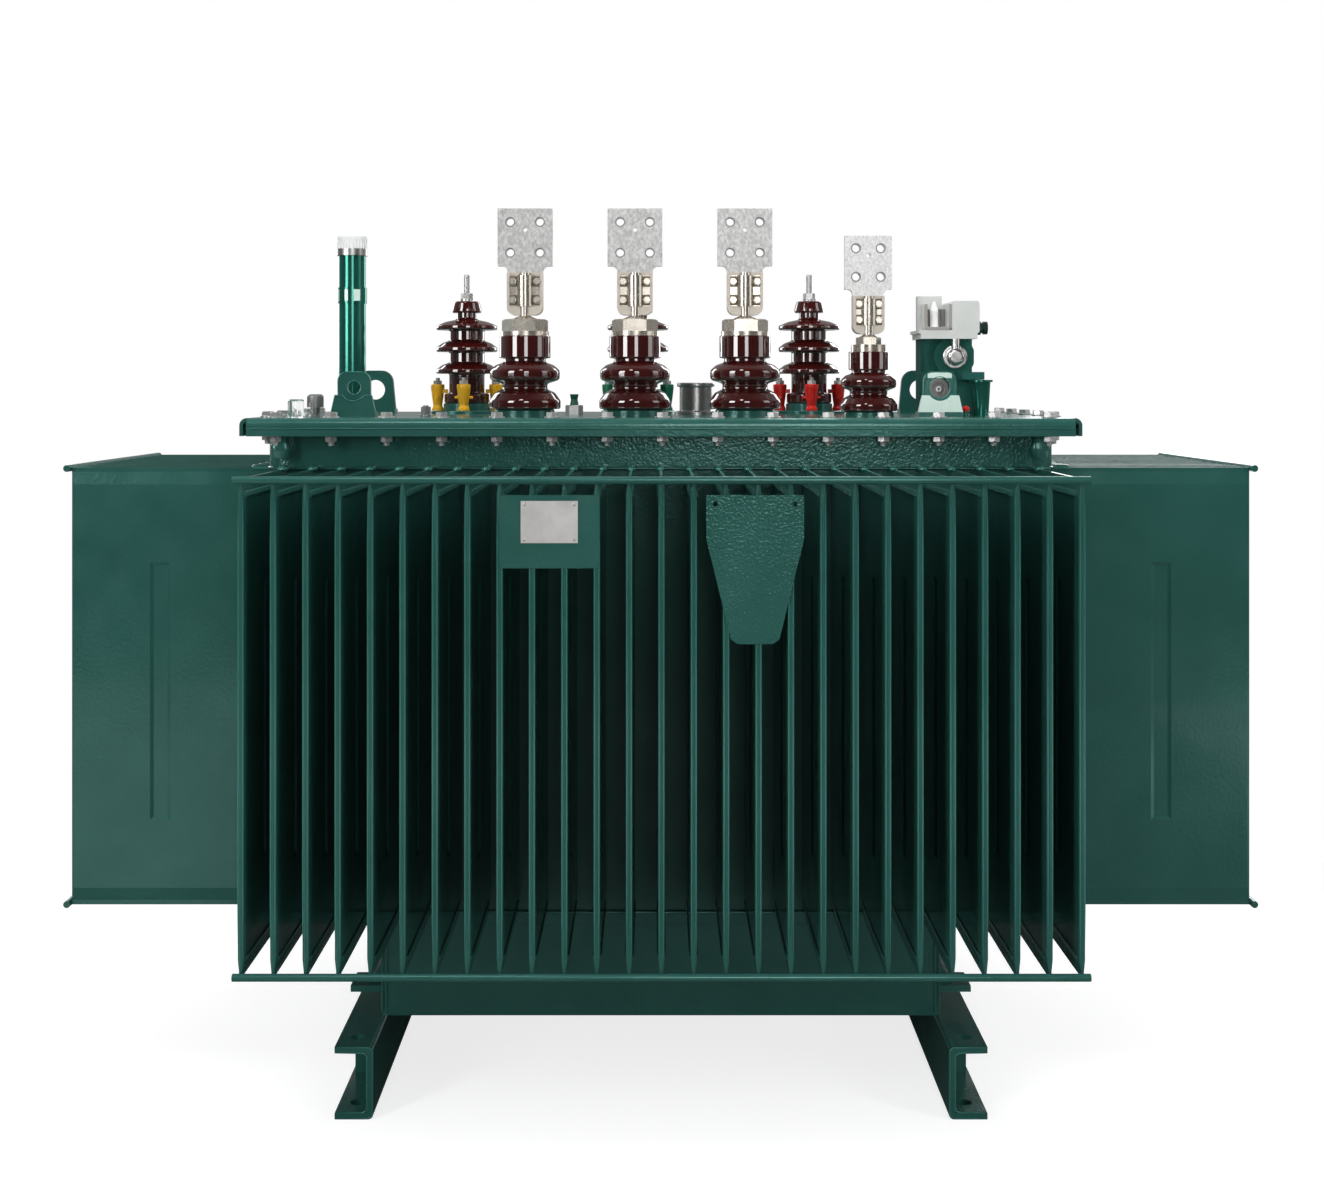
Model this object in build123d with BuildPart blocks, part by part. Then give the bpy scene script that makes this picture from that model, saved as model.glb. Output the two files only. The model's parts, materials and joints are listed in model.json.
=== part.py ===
from build123d import *
import os

# A three-phase oil-filled distribution transformer with a corrugated-fin tank.
# Lengths are in millimetres. +X runs along the tank, -Y is the low-voltage side, +Z is up from the floor.

# Shared
clearance = 0.3
overrun = 5.0

# Foot channels, which run across the tank
foot_spacing = 952.0
foot_height = 120.0
foot_flange = 64.0
foot_length = 930.0
foot_thickness = 10.5
foot_bend_radius = 9.0
foot_hole_radius = 12.5
foot_hole_inset = 33.0
foot_hole_end = 45.0
foot_rib_setback = 175.0
foot_rib_thickness = 8.0

# Base beams, their end plates and the jacking brackets
beam_height = 160.0
beam_flange = 65.0
beam_web = 7.5
beam_flange_thickness = 10.5
end_plate_thickness = 7.0
end_plate_depth = 75.0
jack_reach = 56.0
jack_pad_height = 40.0
jack_pad_thickness = 11.0
jack_pad_depth = 70.0
jack_web_thickness = 14.0
jack_web_drop = 15.0
jack_gusset_rise = 64.0
jack_gusset_run = 32.0

# Tank shell
tank_length = 1364.0
tank_width = 640.0
tank_corner_radius = 36.0
sheet_thickness = 3.0
frame_step = 4.0
frame_thickness = 9.0
floor_thickness = 8.0
floor_rim_height = 20.0
neck_height = 82.0
flange_thickness = 12.0
flange_end_overhang = 27.5
flange_front_overhang = 42.0
cover_thickness = 6.0
cover_lip = 31.0
cover_bend_radius = 13.0
cover_corner_notch = 15.0

# Fins and the bars across their tips
fin_pitch = 50.0
fin_thickness = 10.0
fin_seam_thickness = 4.5
fin_height = 770.0
fin_seam_height = 8.0
fin_pinch_height = 30.0
fin_corner_margin = 30.0
front_fin_depth = 338.0
side_fin_depth = 355.0
emboss_width = 36.0
emboss_height = 453.0
emboss_depth = 2.8
emboss_flank = 6.0
emboss_offset = 200.0
emboss_bottom = 150.0
bar_radius = 6.0
bar_overhang = 6.0
bar_inset = 2.0

# Low-voltage bushings
lv_row = -170.0
lv_first = -247.0
lv_spacing = 200.5
lv_ring_height = 13.0
lv_ring_radius = 54.0
lv_ring_round = 4.0
lv_porcelain_height = 133.0
lv_shed_radius = 65.0
lv_upper_shed_radius = 63.5
lv_waist_radius = 41.0
lv_neck_radius = 38.0
lv_head_radius = 46.5
lv_flange_radius = 43.5
lv_flange_height = 8.0
lv_hex_radius = 42.0
lv_hex_height = 22.0
lv_cone_radius = 24.0
lv_cone_height = 6.0
lv_stud_radius = 11.0
lv_stud_gap = 2.0
lv_clamp_width = 65.0
lv_clamp_height = 77.0
lv_clamp_depth = 22.0
lv_clamp_split = 3.0
lv_clamp_corner = 14.0
lv_cap_inset = 5.5
lv_cap_low = 16.0
lv_cap_drop = 5.0
lv_cap_thickness = 5.0
lv_clamp_rim = 10.0
lv_boss_radius = 16.0
lv_flag_neck = 12.5
lv_flag_width = 100.0
lv_flag_height = 105.0
lv_flag_thickness = 14.0
lv_flag_shoulder = 10.0
lv_hole_radius = 7.0
lv_hole_spacing_x = 54.0
lv_hole_spacing_z = 56.0
lv_flag_corner = 1.2
lv_pin_hole_radius = 4.0

# Neutral bushing, one size smaller
neutral_inset = 303.0
neutral_ring_height = 9.0
neutral_ring_radius = 46.0
neutral_porcelain_height = 108.0
neutral_shed_radius = 52.5
neutral_upper_shed_radius = 50.0
neutral_waist_radius = 34.0
neutral_neck_radius = 30.5
neutral_head_radius = 36.0
neutral_flange_radius = 31.5
neutral_flange_height = 13.0
neutral_hex_radius = 23.0
neutral_hex_height = 13.5
neutral_cone_radius = 17.0
neutral_cone_height = 4.0
neutral_clamp_width = 57.0
neutral_clamp_height = 69.0
neutral_flag_width = 86.0
neutral_flag_height = 98.0
neutral_hole_spacing_x = 45.0
neutral_hole_spacing_z = 52.0

# High-voltage bushings
hv_row = 130.0
hv_first = -385.0
hv_spacing = 341.0
hv_flange_radius = 73.0
hv_flange_height = 6.0
hv_ring_height = 20.0
hv_ring_radius = 46.0
hv_ring_round = 1.5
hv_foot_radius = 44.5
hv_foot_height = 20.0
hv_foot_round = 4.0
hv_core_radius = 35.0
hv_core_round = 3.0
hv_shed_radius = 60.5
hv_shed_pitch = 43.5
hv_shed_first = 59.0
hv_shed_edge = 8.5
hv_shed_rise = 14.0
hv_shed_round = 3.5
hv_crown_round = 14.0
hv_porcelain_height = 203.0
hv_neck_radius = 19.5
hv_neck_height = 13.0
hv_cap_radius = 29.0
hv_cap_height = 23.0
hv_cap_lip = 7.0
hv_cap_round = 5.0
hv_stud_radius = 6.0
hv_stud_height = 53.0
hv_washer_radius = 14.0
hv_washer_height = 5.0
hv_nut_radius = 12.0
hv_nut_height = 11.0
hv_clamp_circle = 58.0
hv_clamp_height = 52.0
hv_clamp_waist_radius = 9.0
hv_clamp_foot_radius = 11.5
hv_clamp_top_radius = 13.5
hv_clamp_round = 1.5
hv_ear_radius = 2.6
hv_ear_span = 36.0
hv_finger_reach = 20.0
hv_finger_width = 14.0
hv_finger_height = 8.0

# Lifting lugs, each with a pad; the front ones carry a saddle plate
front_left_lug_inset = 130.0
front_right_lug_inset = 179.0
back_left_lug_inset = 104.0
back_right_lug_inset = 155.0
lug_edge_inset = 120.0
lug_thickness = 14.0
lug_pad_height = 8.0
lug_pad_depth = 40.0
front_lug_height = 80.0
front_lug_width = 58.0
front_lug_round = 16.0
front_lug_eye_rise = 52.0
front_left_hole_radius = 12.5
front_right_hole_radius = 19.5
saddle_foot_width = 80.0
saddle_top_width = 66.0
saddle_height = 38.0
saddle_thickness = 10.0
saddle_scoop_radius = 24.0
back_lug_height = 86.0
back_lug_width = 68.0
back_lug_foot_width = 84.0
back_lug_round = 24.0
back_lug_eye_rise = 47.0
back_lug_hole_radius = 20.0

# Filler pipe and cap
filler_inset = 91.0
filler_y = 0.0
filler_radius = 26.0
filler_height = 304.0
filler_foot_radius = 41.0
filler_foot_height = 9.0
filler_socket_radius = 35.0
filler_socket_height = 38.0
filler_round = 1.5
filler_band_radius = 28.0
filler_band_low = 213.0
filler_band_height = 30.0
filler_ring_radius = 29.5
filler_ring_height = 13.0
filler_cap_radius = 28.5
filler_cap_height = 31.0
filler_cap_round = 9.0
filler_flute_count = 28
filler_flute_radius = 1.4
filler_flute_height = 18.0

# Small fittings on the cover
tap_x = 68.0
tap_y = -20.0
tap_radius = 31.0
tap_rim_radius = 36.0
tap_rim_height = 8.0
tap_height = 61.0
tap_foot_radius = 40.0
tap_foot_height = 7.0
tap_round = 2.5
vent_x = -165.0
vent_y = 0.0
vent_hex_radius = 17.0
vent_hex_height = 18.0
vent_cup_radius = 8.5
vent_cup_waist = 6.5
vent_cup_height = 21.0
vent_cup_bore = 5.5
vent_cup_depth = 8.0
sight_inset = 27.0
sight_edge_inset = 105.0
sight_radius = 16.5
sight_height = 31.0
sight_round = 4.0
sight_foot_height = 6.0
pocket_inset = 56.0
pocket_edge_inset = 135.0
pocket_height = 40.0
pocket_head_radius = 15.0
pocket_head_height = 24.0
pocket_head_round = 6.0
pocket_neck_radius = 8.5
pocket_foot_radius = 12.0
pocket_foot_height = 4.0

# Protection relay
relay_inset = 148.0
relay_y = -60.0
relay_body_width = 96.0
relay_body_depth = 84.0
relay_body_height = 142.0
relay_body_round = 12.0
relay_skirt_width = 108.0
relay_skirt_height = 80.0
relay_skirt_reach = 12.0
relay_boss_radius = 38.0
relay_boss_length = 9.0
relay_boss_x = 12.0
relay_boss_z = 109.0
relay_knob_radius = 23.0
relay_knob_flange = 7.0
relay_knob_length = 20.0
relay_knob_round = 2.5
relay_dome_radius = 16.0
relay_dome_round = 6.0
relay_stem_radius = 8.0
relay_head_depth = 112.0
relay_plate_left = 53.0
relay_plate_width = 104.0
relay_plate_height = 10.0
relay_tray_left = 57.0
relay_tray_width = 68.0
relay_tray_height = 6.0
relay_box_left = 4.0
relay_box_width = 51.0
relay_box_height = 60.0
relay_box_round = 5.0
relay_cradle_left = 47.0
relay_cradle_width = 51.0
relay_cradle_height = 48.0
relay_cradle_depth = 34.0
relay_cradle_wall = 6.0
relay_cradle_round = 9.0
relay_back_left = 55.0
relay_back_width = 46.0
relay_back_height = 64.0
relay_back_thickness = 18.0
relay_gauge_shift = 5.0
relay_gauge_radius = 8.0
relay_gauge_height = 47.0
relay_gauge_tip = 16.0
relay_gauge_nose = 2.0
relay_post_radius = 2.5
relay_post_height = 32.0
relay_gland_radius = 9.5
relay_gland_length = 24.0
relay_gland_nut_radius = 13.0
relay_gland_nut_length = 8.0
relay_gland_cap_radius = 12.0
relay_gland_cap_length = 8.0
relay_gland_drop = 1.5
relay_pipe_forward = 105.0
relay_pipe_shift = 50.0
relay_pipe_radius = 18.0
relay_pipe_foot_radius = 14.5
relay_pipe_flange_radius = 22.0
relay_pipe_flange_height = 4.0
relay_pipe_height = 66.0
relay_arm_height = 14.0
relay_arm_width = 40.0
relay_arm_shift = 16.0

# Plates on the front fins
holder_left = -250.0
holder_width = 154.0
plate_drop = 25.0
holder_height = 113.0
holder_thickness = 3.0
holder_corner = 6.0
nameplate_width = 88.0
nameplate_height = 65.0
nameplate_thickness = 1.5
nameplate_drop = 9.0
shield_left = 69.0
shield_width = 151.0
shield_shoulder = 68.0
shield_height = 230.0
shield_foot_width = 71.0
shield_thickness = 3.0
shield_corner = 8.0
shield_hole_radius = 4.0
shield_hole_inset = 14.0

# Levels and counts that follow from the sizes above
beam_top = foot_height + beam_height
wall_bottom = beam_top + floor_rim_height
wall_top = wall_bottom + fin_height
cover_under = wall_top + neck_height
cover_top = cover_under + cover_thickness
front_face = -tank_width / 2
front_tip = front_face - front_fin_depth
side_tip = tank_length / 2 + side_fin_depth
front_fin_count = int((tank_length - 2 * fin_corner_margin) / fin_pitch) + 1
side_fin_count = int((tank_width - 2 * tank_corner_radius - fin_thickness) / fin_pitch) + 1
lv_places = [(lv_first + i * lv_spacing, lv_row, cover_top) for i in range(3)]
neutral_place = (tank_length / 2 - neutral_inset, lv_row, cover_top)
hv_places = [(hv_first + i * hv_spacing, hv_row, cover_top) for i in range(3)]

pieces = {}


def frame_outline(step, inset=0.0):
    """The tank's rounded plan, grown by step and then drawn in by inset."""
    grow = 2 * (step - inset)
    with BuildSketch() as outline:
        RectangleRounded(tank_length + grow, tank_width + grow, tank_corner_radius + step - inset)
    return outline.sketch


# Foot channels: bent plate, open to the outside, with a rib near each end
with BuildPart() as left_foot:
    with BuildSketch(Plane.XZ.offset(-foot_length / 2)):
        with Locations((-(foot_spacing + foot_flange) / 2, foot_height / 2)):
            section = Rectangle(foot_flange, foot_height)
        fillet(section.vertices().group_by(Axis.X)[-1], foot_bend_radius)
        with Locations((-(foot_spacing + foot_flange) / 2 - foot_thickness, foot_height / 2)):
            Rectangle(foot_flange, foot_height - 2 * foot_thickness, mode=Mode.SUBTRACT)
    extrude(amount=foot_length)
    with Locations((-(foot_spacing + foot_flange + foot_thickness) / 2, 0, foot_height / 2)):
        with GridLocations(foot_flange, foot_length - 2 * foot_rib_setback, 1, 2):
            Box(foot_flange - 2 * foot_thickness, foot_rib_thickness, foot_height - foot_thickness)
    with Locations((-foot_spacing / 2 - foot_hole_inset, 0, foot_height / 2)):
        with GridLocations(foot_flange, foot_length - 2 * foot_hole_end, 1, 2):
            Cylinder(foot_hole_radius, foot_height + overrun, mode=Mode.SUBTRACT)
pieces["left_foot"] = left_foot

with BuildPart() as right_foot:
    mirror(left_foot.part, about=Plane.YZ)
pieces["right_foot"] = right_foot

# Base beams: channels laid between the feet, web outwards
with BuildPart() as front_base_beam:
    with BuildSketch(Plane.YZ.offset(-foot_spacing / 2)):
        with Locations((front_face + beam_flange / 2, foot_height + beam_height / 2)):
            Rectangle(beam_flange, beam_height)
        with Locations((front_face + beam_flange / 2 + beam_web, foot_height + beam_height / 2)):
            Rectangle(beam_flange, beam_height - 2 * beam_flange_thickness, mode=Mode.SUBTRACT)
    extrude(amount=foot_spacing)
pieces["front_base_beam"] = front_base_beam

with BuildPart() as back_base_beam:
    mirror(front_base_beam.part, about=Plane.XZ)
pieces["back_base_beam"] = back_base_beam

# End plates close the beams and stand on the feet
with BuildPart() as beam_end_plates:
    plate_x = foot_spacing + end_plate_thickness
    plate_y = tank_width - end_plate_depth
    with Locations((0, 0, foot_height + beam_height / 2)):
        with GridLocations(plate_x, plate_y, 2, 2):
            Box(end_plate_thickness, end_plate_depth, beam_height)
pieces["beam_end_plates"] = beam_end_plates

# Jacking brackets: a pad on a curved web with a curved gusset over it, one at each beam end
with BuildPart() as right_jack:
    root = foot_spacing / 2 + end_plate_thickness
    pad_low = foot_height + jack_pad_height
    pad_top = pad_low + jack_pad_thickness
    jack_y = front_face + end_plate_depth / 2
    gusset_radius = (jack_gusset_run**2 + jack_gusset_rise**2) / (2 * jack_gusset_run)
    with BuildSketch(Plane.XZ.offset(-jack_y - jack_web_thickness / 2)):
        with BuildLine():
            RadiusArc((root, pad_low - jack_web_drop), (root + jack_reach, pad_low), jack_reach)
            tip = root + jack_reach
            Polyline((tip, pad_low), (tip, pad_top), (root + jack_gusset_run, pad_top))
            RadiusArc((root + jack_gusset_run, pad_top), (root, pad_top + jack_gusset_rise), gusset_radius)
            Line((root, pad_top + jack_gusset_rise), (root, pad_low - jack_web_drop))
        make_face()
    extrude(amount=jack_web_thickness)
    with Locations((root + jack_reach / 2, jack_y, pad_low + jack_pad_thickness / 2)):
        Box(jack_reach, jack_pad_depth, jack_pad_thickness)
with BuildPart() as jacking_brackets:
    add(right_jack.part)
    mirror(about=Plane.XZ)
    mirror(about=Plane.YZ)
pieces["jacking_brackets"] = jacking_brackets

# Tank floor: a pan whose rim carries the walls
with BuildPart() as tank_floor:
    with BuildSketch(Plane.XY.offset(beam_top)):
        add(frame_outline(frame_step))
    extrude(amount=floor_rim_height)
    with BuildSketch(Plane.XY.offset(beam_top + floor_thickness)):
        add(frame_outline(frame_step, frame_thickness))
    extrude(amount=floor_rim_height, mode=Mode.SUBTRACT)
pieces["tank_floor"] = tank_floor


def fin(reach):
    """One pressed fin, pinched at its top and bottom seams, root at the wall's mid-plane, nose towards -Y."""
    half = fin_thickness / 2
    seam = fin_seam_thickness / 2
    depth = reach + sheet_thickness / 2
    with BuildPart() as plate:
        with BuildSketch():
            with Locations((0, -(depth - half) / 2)):
                Rectangle(fin_thickness, depth - half)
            with Locations((0, half - depth)):
                Circle(half)
        extrude(amount=fin_height)
        with BuildSketch(Plane.XZ):
            with BuildLine():
                Polyline(
                    (0, 0),
                    (seam, 0),
                    (seam, fin_seam_height),
                    (half, fin_pinch_height),
                    (half, fin_height - fin_pinch_height),
                    (seam, fin_height - fin_seam_height),
                    (seam, fin_height),
                    (0, fin_height),
                )
                mirror(about=Plane.YZ)
            make_face()
        extrude(amount=depth + overrun, mode=Mode.INTERSECT)
        for side in (-1, 1):
            middle = (side * half, -emboss_offset, emboss_bottom + emboss_height / 2)
            flank = Plane(origin=middle, x_dir=(0, 1, 0), z_dir=(side, 0, 0))
            with BuildSketch(flank):
                Rectangle(emboss_width, emboss_height)
            with BuildSketch(flank.offset(-emboss_depth)):
                Rectangle(emboss_width - 2 * emboss_flank, emboss_height - 2 * emboss_flank)
            loft(mode=Mode.SUBTRACT)
    return plate.part


def wall_sheet(width, depth, x, y):
    """The stretch of the tank's sheet inside a width by depth box of the plan, at x, y."""
    with BuildPart() as sheet:
        with BuildSketch(Plane.XY.offset(wall_bottom)):
            add(frame_outline(0))
            add(frame_outline(0, sheet_thickness), mode=Mode.SUBTRACT)
            with Locations((x, y)):
                Rectangle(width, depth, mode=Mode.INTERSECT)
        extrude(amount=fin_height)
    return sheet.part


# Corrugated walls: the long walls turn the tank's corners, the end walls stand between them
with BuildPart() as front_wall:
    add(wall_sheet(tank_length, tank_corner_radius, 0, front_face + tank_corner_radius / 2))
    with Locations((0, front_face + sheet_thickness / 2, wall_bottom)):
        with GridLocations(fin_pitch, fin_pitch, front_fin_count, 1):
            add(fin(front_fin_depth))
pieces["front_wall"] = front_wall

with BuildPart() as back_wall:
    mirror(front_wall.part, about=Plane.XZ)
pieces["back_wall"] = back_wall

with BuildPart() as left_wall:
    add(wall_sheet(tank_corner_radius, tank_width - 2 * tank_corner_radius,
                   (tank_corner_radius - tank_length) / 2, 0))
    with Locations((sheet_thickness / 2 - tank_length / 2, 0, wall_bottom)):
        with GridLocations(fin_pitch, fin_pitch, 1, side_fin_count):
            add(fin(side_fin_depth), rotation=(0, 0, -90))
pieces["left_wall"] = left_wall

with BuildPart() as right_wall:
    mirror(left_wall.part, about=Plane.YZ)
pieces["right_wall"] = right_wall


def bar_pair(name, length, x, y, turn):
    """Round bars along the top and bottom of one side's fin tips."""
    with BuildPart() as bars:
        with Locations((x, y, wall_bottom + bar_inset), (x, y, wall_top - bar_inset)):
            Cylinder(bar_radius, length, rotation=turn)
    pieces[name] = bars


bar_stand = bar_radius + clearance
front_bar_length = (front_fin_count - 1) * fin_pitch + fin_thickness + 2 * bar_overhang
side_bar_length = (side_fin_count - 1) * fin_pitch + fin_thickness + 2 * bar_overhang
bar_pair("front_fin_bars", front_bar_length, 0, front_tip - bar_stand, (0, 90, 0))
bar_pair("back_fin_bars", front_bar_length, 0, -front_tip + bar_stand, (0, 90, 0))
bar_pair("left_fin_bars", side_bar_length, -side_tip - bar_stand, 0, (90, 0, 0))
bar_pair("right_fin_bars", side_bar_length, side_tip + bar_stand, 0, (90, 0, 0))

# Neck: the frame over the walls, with the flange that the cover is bolted to
with BuildPart() as tank_neck:
    with BuildSketch(Plane.XY.offset(wall_top)):
        add(frame_outline(frame_step))
    extrude(amount=neck_height)
    with BuildSketch(Plane.XY.offset(cover_under)):
        Rectangle(tank_length + 2 * flange_end_overhang, tank_width + 2 * flange_front_overhang)
    extrude(amount=-flange_thickness)
    with BuildSketch(Plane.XY.offset(wall_top)):
        add(frame_outline(frame_step, frame_thickness))
    extrude(amount=neck_height, mode=Mode.SUBTRACT)
pieces["tank_neck"] = tank_neck

# Cover: a plate with folded lips and open corners
cover_length = tank_length + 2 * (flange_end_overhang + cover_bend_radius)
cover_width = tank_width + 2 * (flange_front_overhang + cover_bend_radius)
with BuildPart() as cover:
    with Locations((0, 0, cover_top - cover_lip / 2)):
        Box(cover_length, cover_width, cover_lip)
    fillet(cover.edges().group_by(Axis.Z)[-1], cover_bend_radius)
    offset(amount=-cover_thickness, openings=cover.faces().sort_by(Axis.Z)[0])
    with Locations((0, 0, cover_top - cover_lip / 2)):
        with GridLocations(cover_length, cover_width, 2, 2):
            Box(2 * cover_corner_notch, 2 * cover_corner_notch, cover_lip + overrun, mode=Mode.SUBTRACT)
pieces["cover"] = cover


def turned(corners):
    """A solid turned about Z through (radius, height, rounding) corners, the first and last on the axis."""
    path = [(radius, height) for radius, height, rounding in corners]
    with BuildPart() as solid:
        with BuildSketch(Plane.XZ):
            with BuildLine():
                FilletPolyline(*path, radius=[rounding for radius, height, rounding in corners[1:-1]])
                Line(path[-1], path[0])
            make_face()
        revolve(axis=Axis.Z)
    return solid.part


def at_places(name, solid, places):
    """A node that repeats one solid at each place."""
    with BuildPart() as node:
        with Locations(*places):
            add(solid)
    pieces[name] = node


def disc_stack(*layers):
    """Coaxial discs from the floor up, each given as radius and height."""
    with BuildPart() as stack:
        level = 0.0
        for radius, height in layers:
            with Locations((0, 0, level)):
                Cylinder(radius, height, align=(Align.CENTER, Align.CENTER, Align.MIN))
            level += height
    return stack.part


# Shares of a hexagon's corner radius that set the cone which turns its top corners down
hex_top_share = 0.9
hex_side_share = 1.05
hex_drop_share = 0.09


def hexagon(radius, height, base=0.0):
    """A hexagon standing on base, its top corners turned down."""
    top = base + height
    with BuildPart() as nut:
        with BuildSketch(Plane.XY.offset(base)):
            RegularPolygon(radius, 6)
        extrude(amount=height)
        add(turned([
            (0, base, 0),
            (hex_side_share * radius, base, 0),
            (hex_side_share * radius, top - hex_drop_share * radius, 0),
            (hex_top_share * radius, top, 0),
            (0, top, 0),
        ]), mode=Mode.INTERSECT)
    return nut.part


# Low-voltage porcelain: levels and roundings of its profile as shares of its height
lower_rim_share = 0.115
lower_dome_share = 0.225
waist_low_share = 0.272
waist_top_share = 0.345
upper_edge_share = 0.40
upper_rim_share = 0.53
upper_dome_share = 0.60
neck_low_share = 0.64
neck_top_share = 0.688
head_low_share = 0.70
lip_round_share = 0.03
rim_round_share = 0.075
dome_round_share = 0.10
waist_round_share = 0.035
crease_round_share = 0.005
dome_reach_share = 0.42


def lv_insulator(base, height, shed, upper_shed, waist, neck, head):
    """Porcelain with two fat bell-shaped sheds, a waist between them and a plain head over a groove."""
    lip = lip_round_share * height
    rim = rim_round_share * height
    dome = dome_round_share * height
    hollow = waist_round_share * height
    return turned([
        (0, base, 0),
        (shed, base, lip),
        (shed, base + lower_rim_share * height, rim),
        (shed - dome_reach_share * (shed - waist), base + lower_dome_share * height, dome),
        (waist, base + waist_low_share * height, hollow),
        (waist, base + waist_top_share * height, hollow),
        (upper_shed, base + upper_edge_share * height, 2 * lip),
        (upper_shed, base + upper_rim_share * height, rim),
        (upper_shed - dome_reach_share * (upper_shed - neck), base + upper_dome_share * height, dome),
        (neck, base + neck_low_share * height, hollow),
        (neck, base + neck_top_share * height, crease_round_share * height),
        (head, base + head_low_share * height, lip / 2),
        (head, base + height, lip / 2),
        (0, base + height, 0),
    ])


def lv_collar(base, flange_radius, flange_height, hex_radius, hex_height, cone_radius, cone_height, stud_top):
    """Flanged hexagon nut on the porcelain's head, with the stud that carries the clamp."""
    hex_base = base + flange_height
    hex_top = hex_base + hex_height
    with BuildPart() as collar:
        add(turned([
            (0, base, 0),
            (flange_radius, base, 0),
            (flange_radius, hex_base, 0),
            (cone_radius, hex_base, 0),
            (cone_radius, hex_top, 0),
            (lv_stud_radius, hex_top + cone_height, 0),
            (lv_stud_radius, stud_top, 0),
            (0, stud_top, 0),
        ]))
        add(hexagon(hex_radius, hex_height, hex_base))
    return collar.part


def clamp_cap(base, width, height):
    """The clamp's front half: a bolted plate with a half-round boss over the stud."""
    with BuildPart() as cap:
        with BuildSketch(Plane.XY.offset(base + lv_cap_low)):
            Circle(lv_boss_radius)
            with Locations((0, -(lv_clamp_split + lv_cap_thickness) / 2)):
                Rectangle(width - 2 * lv_cap_inset, lv_cap_thickness)
            with Locations((0, lv_boss_radius - lv_clamp_split / 2)):
                Rectangle(width, 2 * lv_boss_radius, mode=Mode.SUBTRACT)
            Circle(lv_stud_radius + clearance, mode=Mode.SUBTRACT)
        extrude(amount=height - lv_cap_low - lv_cap_drop)
    return cap.part


def lv_flag(base, clamp_width, clamp_height, width, height, spacing_x, spacing_z):
    """Flag terminal: a drilled plate that flares from the rear half of its clamp, whose rim holds the cap."""
    neck = clamp_width / 2
    clamp_top = base + clamp_height
    plate_base = clamp_top + lv_flag_neck
    plate_top = plate_base + height
    front = lv_clamp_split / 2
    with BuildPart() as flag:
        with BuildSketch(Plane.XZ.offset(-front - lv_clamp_depth)):
            with BuildLine():
                FilletPolyline((0, base), (neck, base), (neck, clamp_top), (0, clamp_top),
                               radius=[lv_clamp_corner, 0])
                mirror(about=Plane.YZ)
            make_face()
        extrude(amount=lv_clamp_depth + lv_clamp_rim)
        with Locations((0, front, base + lv_cap_low - clearance)):
            Box(clamp_width - 2 * lv_cap_inset + 2 * clearance, lv_clamp_rim, clamp_height,
                align=(Align.CENTER, Align.MAX, Align.MIN), mode=Mode.SUBTRACT)
        with BuildSketch(Plane.XZ.offset(-front - lv_flag_thickness)):
            with BuildLine():
                FilletPolyline(
                    (0, clamp_top),
                    (neck, clamp_top),
                    (neck, plate_base),
                    (width / 2, plate_base),
                    (width / 2, plate_top),
                    (0, plate_top),
                    radius=[0, lv_flag_shoulder, lv_flag_corner, 0],
                )
                mirror(about=Plane.YZ)
            make_face()
            with Locations((0, plate_base + height / 2 + spacing_z / 4)):
                Circle(lv_pin_hole_radius, mode=Mode.SUBTRACT)
        extrude(amount=lv_flag_thickness)
        with Locations(Plane((0, front, plate_base + height / 2), x_dir=(1, 0, 0), z_dir=(0, -1, 0))):
            with GridLocations(spacing_x, spacing_z, 2, 2):
                Hole(lv_hole_radius, lv_flag_thickness)
        Cylinder(lv_stud_radius + clearance, 2 * clamp_top, mode=Mode.SUBTRACT)
    return flag.part


lv_collar_base = lv_ring_height + lv_porcelain_height
lv_collar_height = lv_flange_height + lv_hex_height + lv_cone_height
lv_clamp_base = lv_collar_base + lv_collar_height + lv_stud_gap
neutral_collar_base = neutral_ring_height + neutral_porcelain_height
neutral_collar_height = neutral_flange_height + neutral_hex_height + neutral_cone_height
neutral_clamp_base = neutral_collar_base + neutral_collar_height + lv_stud_gap


def base_ring(radius, height):
    """The rounded ring that a low-voltage porcelain stands on."""
    return turned([(0, 0, 0), (radius, 0, 0), (radius, height, lv_ring_round), (0, height, 0)])


at_places("lv_base_rings", base_ring(lv_ring_radius, lv_ring_height), lv_places)
at_places("lv_insulators", lv_insulator(lv_ring_height, lv_porcelain_height, lv_shed_radius, lv_upper_shed_radius,
                                        lv_waist_radius, lv_neck_radius, lv_head_radius), lv_places)
at_places("lv_collars", lv_collar(lv_collar_base, lv_flange_radius, lv_flange_height, lv_hex_radius, lv_hex_height,
                                  lv_cone_radius, lv_cone_height, lv_clamp_base + lv_clamp_height), lv_places)
at_places("lv_clamps", clamp_cap(lv_clamp_base, lv_clamp_width, lv_clamp_height), lv_places)
at_places("lv_flags", lv_flag(lv_clamp_base, lv_clamp_width, lv_clamp_height, lv_flag_width, lv_flag_height,
                              lv_hole_spacing_x, lv_hole_spacing_z), lv_places)

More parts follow.
